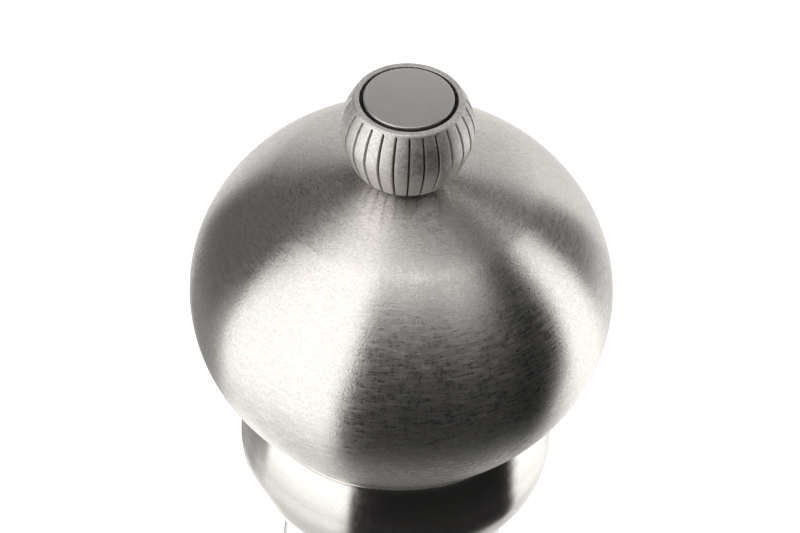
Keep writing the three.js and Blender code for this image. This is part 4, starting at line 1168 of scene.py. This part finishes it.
@dataclass
class Body:
    """The turned body under the head, from the seam down to the foot.

    Attributes:
        shoulder: Radius, and drop below the mouth, of the points from the taper's start up to the mouth.
        waist_radius, waist_share: The waist, and its share of the body's height.
        base_flare, base_bead: How much wider the lower edge is than the waist, and its swell's width and height.
        rim_rise, rim_wall: The thin rim of the mouth that hides the bearing ring's flange.
        fit: Room round the collar.
        collar_web, web_bore, collar_bore: The collar's web and its two bores.
        flange_top, flange_thickness: The sleeve's flange under the collar's web.
        lip_bore, lip_thickness: The sleeve's lip under the bridge.
    """

    seam_radius: float = 20 * MM
    wall: float = 1.2 * MM
    shoulder: tuple[tuple[float, float], ...] = (
        (20.6 * MM, 13.65 * MM),
        (21.8 * MM, 9.85 * MM),
        (21.45 * MM, 5.9 * MM),
        (20.95 * MM, 3.1 * MM),
        (20.45 * MM, 1.3 * MM),
        (20 * MM, 0.0),
    )
    waist_radius: float = 15.8 * MM
    waist_share: float = 0.614
    base_flare: float = 7.3 * MM
    base_bead: tuple[float, float] = (0.35 * MM, 1.9 * MM)
    rim_rise: float = 0.68 * MM
    rim_wall: float = 0.45 * MM
    fit: float = 0.3 * MM
    collar_web: float = 1.6 * MM
    web_bore: float = 14.3 * MM
    collar_bore: float = 19.9 * MM
    chamber_radius: float = 13 * MM
    sleeve_radius: float = 14 * MM
    flange_top: float = 14.25 * MM
    flange_thickness: float = 1.2 * MM
    lip_bore: float = 9.4 * MM
    lip_thickness: float = 1.5 * MM
    screw_circle: float = 11.7 * MM
    screw_hole: float = 1.15 * MM
    hub_bore: float = 6.2 * MM
    hub_wall: float = 2.4 * MM
    spoke_width: float = 4.5 * MM
    bush_bore: float = 4.65 * MM
    bush_radius: float = 6.05 * MM
    bush_flange: float = 1.0 * MM
    glide_bore: float = 16.65 * MM
    glide_radius: float = 18.25 * MM
    bottom: float = field(default_factory=lambda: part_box("body_shell")[0].z)
    seam: float = field(default_factory=lambda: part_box("body_shell")[1].z)

    def outside(self) -> Outline:
        """The outline from the lower edge up to the mouth."""
        waist, share = self.waist_radius, self.waist_share
        base, fullest = waist + self.base_flare, self.shoulder[1][0]
        swell, swell_height = self.base_bead
        rises = (base, 0.5, 0.34), (base, 0.12, 0.67), (base, 0.0, 1), (fullest, 0.117, 1.184)
        waistline = [(lerp(waist, to, part), lerp(self.bottom, self.seam, share * up)) for to, part, up in rises]
        shoulder = [(radius, self.seam - drop) for radius, drop in self.shoulder]
        return through(path((base, self.bottom), (base + swell, self.bottom + swell_height), *waistline, *shoulder))

    def inside(self) -> Outline:
        """The outline of the shell's inside, bottom to top."""
        return inset(self.outside(), self.wall)

    def shell(self) -> Piece:
        """The body's shell, with its wall and rim."""
        rim_top, within = self.seam + self.rim_rise, self.seam_radius - self.rim_wall
        rim = path((self.seam_radius, rim_top), (within, rim_top), (within, self.seam))
        return turned("body", [*self.outside(), *rim, *reversed(self.inside())], 0.2 * MM, 224)

    def collar(self) -> Piece:
        """The collar that joins the sleeve to the shell and takes the foot's spigot."""
        bottom, top, _ = extent("lower_collar")
        inside, web, bore = self.inside(), top - self.collar_web, self.collar_bore
        side = [(radius_at(inside, z) - self.fit, z) for z in (lerp(bottom, top, i / 8) for i in range(9))]
        outline = path((bore, bottom), *side, (self.web_bore, top), (self.web_bore, web), (bore, web))
        return turned("collar", outline, 0.2 * MM)

    def sleeve(self) -> Piece:
        """The nut's chamber, with its flange and the lip that the bridge is screwed to."""
        bottom, top, flange = extent("nut_sleeve")
        bore, out, lip = self.chamber_radius, self.sleeve_radius, self.lip_bore
        low, high, under = self.flange_top - self.flange_thickness, self.flange_top, top - self.lip_thickness
        outline = path((bore, bottom), (out, bottom), (out, low), (flange, low), (flange, high), (out, high))
        outline += path((out, top), (lip, top), (lip, under), (bore, under))
        holes = pegs(thirds(self.screw_circle), self.screw_hole, top - 2 * MM, top + MM)
        return carved(turned("sleeve", outline, 0.15 * MM), holes)

    def bridge(self) -> Piece:
        """The spoked bridge that carries the bush."""
        bottom, top, outer = extent("bearing_bridge")
        rim, hub = (self.lip_bore, outer), (self.hub_bore, self.hub_bore + self.hub_wall)
        whole, inner = (spun(soften(corners(*radii, bottom, top), 0.3 * MM)) for radii in (rim, hub))
        added(whole, inner)
        reach = self.lip_bore + self.hub_bore + self.hub_wall / 2
        size = (self.lip_bore - self.hub_bore, self.spoke_width, top - bottom - 0.5 * MM)
        for i, spot in enumerate(thirds(reach / 2)):
            middle = Vector((spot.x, spot.y, (bottom + top) / 2))
            spoke = block(size, middle, QUARTER + i * FULL_TURN / 3)
            bevel(spoke, spoke.edges, 0.4 * MM, 3)
            added(whole, spoke)
        return finished(whole, "bridge")

    def bush(self) -> Piece:
        """The brass bush that the drive tube turns in."""
        bottom, top, flange = extent("shaft_bush")
        bore, out, step = self.bush_bore, self.bush_radius, bottom + self.bush_flange
        outline = path((bore, bottom), (flange, bottom), (flange, step), (out, step), (out, top), (bore, top))
        return turned("bush", outline, 0.15 * MM)

    def bearing_ring(self) -> Piece:
        """The ring in the mouth that the head turns on."""
        bottom, top, flange = extent("glide_ring")
        bore, out, seat = self.glide_bore, self.glide_radius, self.seam + 0.05 * MM
        outline = path((bore, bottom), (out - 0.3 * MM, bottom), (out, bottom + 0.6 * MM), (out, seat))
        return turned("bearing_ring", outline + path((flange, seat), (flange, top), (bore, top)), 0.12 * MM, 192)

    def build(self) -> None:
        """Makes and places the shell and what is fixed in it."""
        stands_for(self.shell(), "body_shell", "body", "body_steel")
        stands_for(self.collar(), "lower_collar", "body", "machined_steel")
        stands_for(self.sleeve(), "nut_sleeve", "body", "machined_steel")
        stands_for(self.bridge(), "bearing_bridge", "body", "dark_plastic")
        stands_for(self.bush(), "shaft_bush", "body", "bush_brass")
        stands_for(self.bearing_ring(), "glide_ring", "body", "pale_nylon")
        BRIDGE_SCREW.three("bridge_screw", self.screw_circle, "body")


@dataclass
class Knob:
    """The fluted knob with its cap.

    Attributes:
        radius, rim_radius, base_radius: At its fullest line, at the top and at the bottom.
        groove_depth, groove_width, crown: A groove's size, and how much its edges are eased.
        gather: How strongly the mesh is drawn towards each groove, 1 being evenly spread.
        phase: Where the first groove lies, in radians from +X.
        groove_top, run_out: Where the grooves end, in shares of the height.
        recess_radius, recess_depth: The cap's seat.
    """

    radius: float = 8.35 * MM
    rim_radius: float = 6.7 * MM
    base_radius: float = 5.7 * MM
    flutes: int = 27
    groove_depth: float = 0.55 * MM
    groove_width: float = 0.38 * MM
    crown: float = 0.03 * MM
    gather: float = 1.8
    phase: float = math.radians(2.4 - 90)
    groove_top: float = 0.945
    run_out: float = 0.03
    recess_radius: float = 6.08 * MM
    recess_depth: float = 1.3 * MM
    washer_radius: float = 4.7 * MM
    washer_depth: float = 0.5 * MM
    bore: float = 2.8 * MM
    bore_depth: float = 6.9 * MM
    bottom: float = field(default_factory=lambda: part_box("knob_body")[0].z)
    top: float = field(default_factory=lambda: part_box("knob_body")[1].z)

    def side(self) -> Outline:
        """The outline of the fluted side, from the base up to the rim."""
        radius, rim = self.radius, self.rim_radius
        bulge = (self.base_radius, 0.0), (radius * 0.84, 0.12), (radius, 0.51), (radius * 0.955, 0.78)
        knots = (*bulge, (rim + 0.36 * MM, 0.96), (rim, 1.0))
        return through(path(*[(out, lerp(self.bottom, self.top, share)) for out, share in knots]))

    def groove(self, off: float, share: float) -> float:
        """How deep the side lies below its full outline, in metres.

        Args:
            off: Angle from the nearest groove's middle.
            share: Height as a share of the knob's height.

        Returns:
            The depth.
        """
        end = 1 - smoothstep(self.groove_top, self.groove_top + self.run_out, share)
        half = self.groove_width / 2 * (0.6 + 0.4 * end)
        vee = max(0.0, 1 - abs(off) * self.radius / half)
        cushion = self.crown * max(0.0, 1 - abs(off) * self.radius / (3 * half)) ** 2
        return (self.groove_depth * vee + cushion) * end

    def flute(self, bm: Edit) -> None:
        """Cuts the grooves into the turned side, whose steps are evenly spread."""
        step = FULL_TURN / self.flutes
        depth = bm.verts.layers.float.new(GROOVE)
        for vert in bm.verts:
            reach = math.hypot(vert.co.x, vert.co.y)
            if reach < 1e-9:
                continue
            angle = math.atan2(vert.co.y, vert.co.x)
            off = (angle + step / 2) % step - step / 2
            gathered = math.copysign((2 * abs(off) / step) ** self.gather * step / 2, off)
            share = (vert.co.z - self.bottom) / (self.top - self.bottom)
            outer = reach > self.recess_radius * 0.9 and not (share > 0.99 and reach < self.rim_radius)
            if outer and reach > self.washer_radius + 0.2 * MM:
                cut = self.groove(gathered, share)
                # Kept per vertex for the painted shade in the grooves.
                vert[depth] = cut / self.groove_depth
                reach -= cut
            angle += gathered - off + self.phase
            vert.co.xy = reach * math.cos(angle), reach * math.sin(angle)

    def body(self) -> Piece:
        """The knob's body: turned, then fluted."""
        side, seat, floor = self.side(), self.recess_radius, self.top - self.recess_depth
        inner = soften([side[-1], *path((seat, self.top), (seat, floor), (0, floor))], 0.12 * MM, closed=False)
        ceiling, ledge = self.bottom + self.bore_depth, self.bottom + self.washer_depth
        under = path((0, ceiling), (self.bore, ceiling), (self.bore, ledge), (self.washer_radius, ledge))
        outline = [*under, *path((self.washer_radius, self.bottom)), *side, *inner[1:]]
        bm = spun(outline, closed=False, steps=self.flutes * 24, sectors=self.flutes)
        self.flute(bm)
        return finished(bm, "knob", 40)

    def cap(self) -> Piece:
        """The flat disc in the knob's top."""
        bottom, top, outer = extent("cap_disc")
        return turned("cap", corners(0, outer, bottom, top), 0.22 * MM, 192, closed=False, bends=6)

    def gasket(self) -> Piece:
        """The black ring round the cap."""
        bottom, top, outer = extent("cap_gasket")
        return turned("cap_ring", corners(extent("cap_disc")[2] + 0.05 * MM, outer, bottom, top), 0.1 * MM, 192)

    def washer(self) -> Piece:
        """The washer under the knob."""
        bottom, top, outer = extent("knob_washer")
        return turned("washer", corners(self.bore, outer, bottom, top), 0.1 * MM)

    def build(self) -> None:
        """Makes and places the knob's pieces."""
        stands_for(self.body(), "knob_body", "knob", "knob_steel")
        stands_for(self.cap(), "cap_disc", "knob", "cap_steel")
        stands_for(self.gasket(), "cap_gasket", "knob", "black_rubber")
        stands_for(self.washer(), "knob_washer", "knob_washer", "pale_nylon")


# The stage: floor, light and camera


@dataclass(frozen=True)
class Card:
    """A soft-edged patch of the studio that the metal reflects.

    Attributes:
        left, right: Its sides, as directions round the mill in degrees, 0 to the front and 90 to the right.
        low, high: Its lower and upper edge, in degrees above the horizon.
        light: How bright it is, 1 being white.
        side_blur, end_blur: Softness of its sides and of its upper and lower edge, in degrees.
    """

    left: float
    right: float
    low: float
    high: float
    light: float
    side_blur: float
    end_blur: float

    def mask(self, nodes: Nodes, way: Socket) -> Socket:
        """Where the card is in a direction: 1 inside it and 0 outside."""

        def edge(value: Socket, at: float, blur: float, *ends: float) -> Socket:
            """A soft edge at an angle, from the first end to the second."""
            return nodes.remap(value, math.radians(at - blur), math.radians(at + blur), *ends)

        middle, half = (self.left + self.right) / 2, (self.right - self.left) / 2
        turned_way = {"Vector": way, "Angle": -math.radians(middle)}
        parts = nodes.parts(nodes.add("VectorRotate", turned_way, rotation_type="Z_AXIS").outputs[0])
        front = nodes.math("MULTIPLY", parts[1], -1.0)
        side = nodes.math("ABSOLUTE", nodes.math("ARCTAN2", parts[0], front))
        rise = nodes.math("ARCSINE", parts[2])
        wide = edge(side, half, self.side_blur, 1.0, 0.0)
        under, over = edge(rise, self.high, self.end_blur, 1.0, 0.0), edge(rise, self.low, self.end_blur)
        return nodes.math("MULTIPLY", wide, nodes.math("MULTIPLY", under, over))


CARDS = (
    Card(-190, 190, -120, -1.5, 0.9, 3, 1.5),
    Card(-190, -136, -48, -4, 1.45, 7, 5),
    Card(-190, 190, 61, 120, 1.85, 4, 12),
    Card(97, 201, 41, 83, 0.27, 12, 6),
    Card(103, 207, -65, 35, 1.18, 20, 4),
    Card(-141, -97, -24, 53, 0.165, 8, 4),
    Card(-91, -20.5, -38, 120, 1.85, 1.5, 11),
    Card(-150, -92, -80, -54, 1.9, 6, 4),
    Card(-132, -105, -50, -26, 0.42, 4, 4),
    Card(-109, -92, -41, -22, 0.42, 4, 4),
    Card(-178, -132, -75, -49, 0.3, 6, 3),
    Card(-34, 84, -57, -44, 0.012, 2.5, 4),
    Card(-27, 84, -48, -2, 0.016, 2.5, 4),
    Card(-32, 70, -120, -57, 0.42, 8, 5),
    Card(-22.5, 88, -30, 46, 0.015, 1.5, 5),
    Card(37, 74, 45, 64, 1.2, 12, 8),
    Card(84, 126, -47, -26, 1.7, 4, 5),
    Card(87, 113, -35, 4, 1.9, 4, 5),
    Card(92, 113, -2, 40, 1.9, 4, 5),
    Card(110, 135, -12, 34, 0.14, 4, 4),
)


@dataclass
class Stage:
    """The floor, the studio round it and the camera.

    Attributes:
        cards: What stands round the mill, later ones in front of earlier ones.
        room: Light of the rest of the room.
        floor_grey, floor_glow: The floor's colour, and the white that it adds where it is looked at.
        eye_height: The height that the cards' directions are taken from.
        elevation, roll: How the camera looks down and leans, in degrees.
        frame_width, focal_pixels: The picture's width and the lens, in pixels.
        shift: How far the head's middle lies from the picture's, in pixels.
        reach: The camera's distance, in radii of the head.
    """

    cards: tuple[Card, ...] = CARDS
    room: float = 0.02
    floor_grey: float = 0.5
    floor_glow: float = 0.8
    eye_height: float = 97.5 * MM
    elevation: float = 45.67
    roll: float = 2.25
    frame_width: int = 800
    focal_pixels: float = 2200
    shift: tuple[float, float] = (-1.4, 20.0)
    reach: float = 10.43
    sensor: float = 36.0

    def pattern(self, nodes: Nodes, way: Socket) -> Socket:
        """The light that comes from a direction of length 1, 1 being white."""
        level: object = self.room
        for card in self.cards:
            level = nodes.blend(card.mask(nodes, way), level, card.light)
        return level

    def surroundings(self) -> None:
        """A world of soft cards in a dim room, white where the camera sees it."""
        world = bpy.data.worlds.new("studio")
        bpy.context.scene.world = world
        world.use_nodes = True
        world.node_tree.nodes.clear()
        nodes, white = Nodes(world.node_tree), (1, 1, 1, 1)
        light = self.pattern(nodes, nodes.add("TexCoord").outputs["Generated"])
        room = nodes.add("Background", {"Color": white, "Strength": light}).outputs[0]
        plain = nodes.add("Background", {"Color": white}).outputs[0]
        seen = nodes.add("LightPath").outputs["Is Camera Ray"]
        nodes.add("OutputWorld", {0: nodes.add("MixShader", {0: seen, 1: room, 2: plain}).outputs[0]})

    def floor(self) -> None:
        """A wide pale floor that looks white, keeps the mill's shadow and shows the cards to the steel."""
        bm = bmesh.new()
        bmesh.ops.create_circle(bm, cap_ends=True, segments=96, radius=2.5)
        floor = finished(bm, "floor")
        material, nodes, _ = new_material("pale_floor")
        material.node_tree.nodes.clear()
        rays = nodes.add("LightPath").outputs
        matte = nodes.add("BsdfDiffuse", {0: (self.floor_grey,) * 3 + (1,)}).outputs[0]
        seen = nodes.math("ADD", rays["Is Camera Ray"], rays["Is Transmission Ray"])
        glow = nodes.add("Emission", {"Strength": nodes.math("MULTIPLY", seen, self.floor_glow)}).outputs[0]
        both = nodes.add("AddShader", {0: matte, 1: glow}).outputs[0]
        way = nodes.vector("NORMALIZE", nodes.vector("SUBTRACT", nodes.place(), (0, 0, self.eye_height)))
        mirrored = nodes.add("Emission", {"Strength": self.pattern(nodes, way)}).outputs[0]
        choice = nodes.add("MixShader", {0: rays["Is Glossy Ray"], 1: both, 2: mirrored})
        nodes.add("OutputMaterial", {0: choice.outputs[0]})
        floor.data.materials.append(material)

    def camera(self, head: Head) -> None:
        """A long lens that looks down on the head's middle, a little rolled."""
        elevation, roll = math.radians(self.elevation), Matrix.Rotation(math.radians(self.roll), 3, "Z")
        distance = self.reach * head.radius
        middle = Vector((0, 0, head.widest))
        back = Vector((0, -math.cos(elevation), math.sin(elevation)))
        turn = back.to_track_quat("Z", "Y").to_matrix() @ roll
        aim = middle + turn @ Vector((*self.shift, 0)) * (distance / self.focal_pixels)
        place = middle + back * distance
        data = bpy.data.cameras.new("camera")
        data.sensor_width, data.lens = self.sensor, self.sensor * self.focal_pixels / self.frame_width
        data.clip_start, data.clip_end = 0.01, 20
        camera = bpy.data.objects.new("camera", data)
        view = (place - aim).to_track_quat("Z", "Y").to_matrix() @ roll
        camera.matrix_world = Matrix.LocRotScale(place, view.to_quaternion(), None)
        bpy.context.scene.collection.objects.link(camera)
        bpy.context.scene.camera = camera

    def build(self, head: Head) -> None:
        """Sets the stage round the mill."""
        bpy.context.scene.view_settings.view_transform = "Standard"
        self.camera(head)
        self.surroundings()
        self.floor()


def main() -> None:
    """Builds the mill's pieces in order, then the stage."""
    logging.basicConfig(level=logging.INFO, format="%(relativeCreated)6d ms %(name)s: %(message)s")
    head = Head()
    for part in (head, Body(), Foot(), Pusher(), Knob()):
        part.build()
    Stage().build(head)


if __name__ == "__main__":
    main()
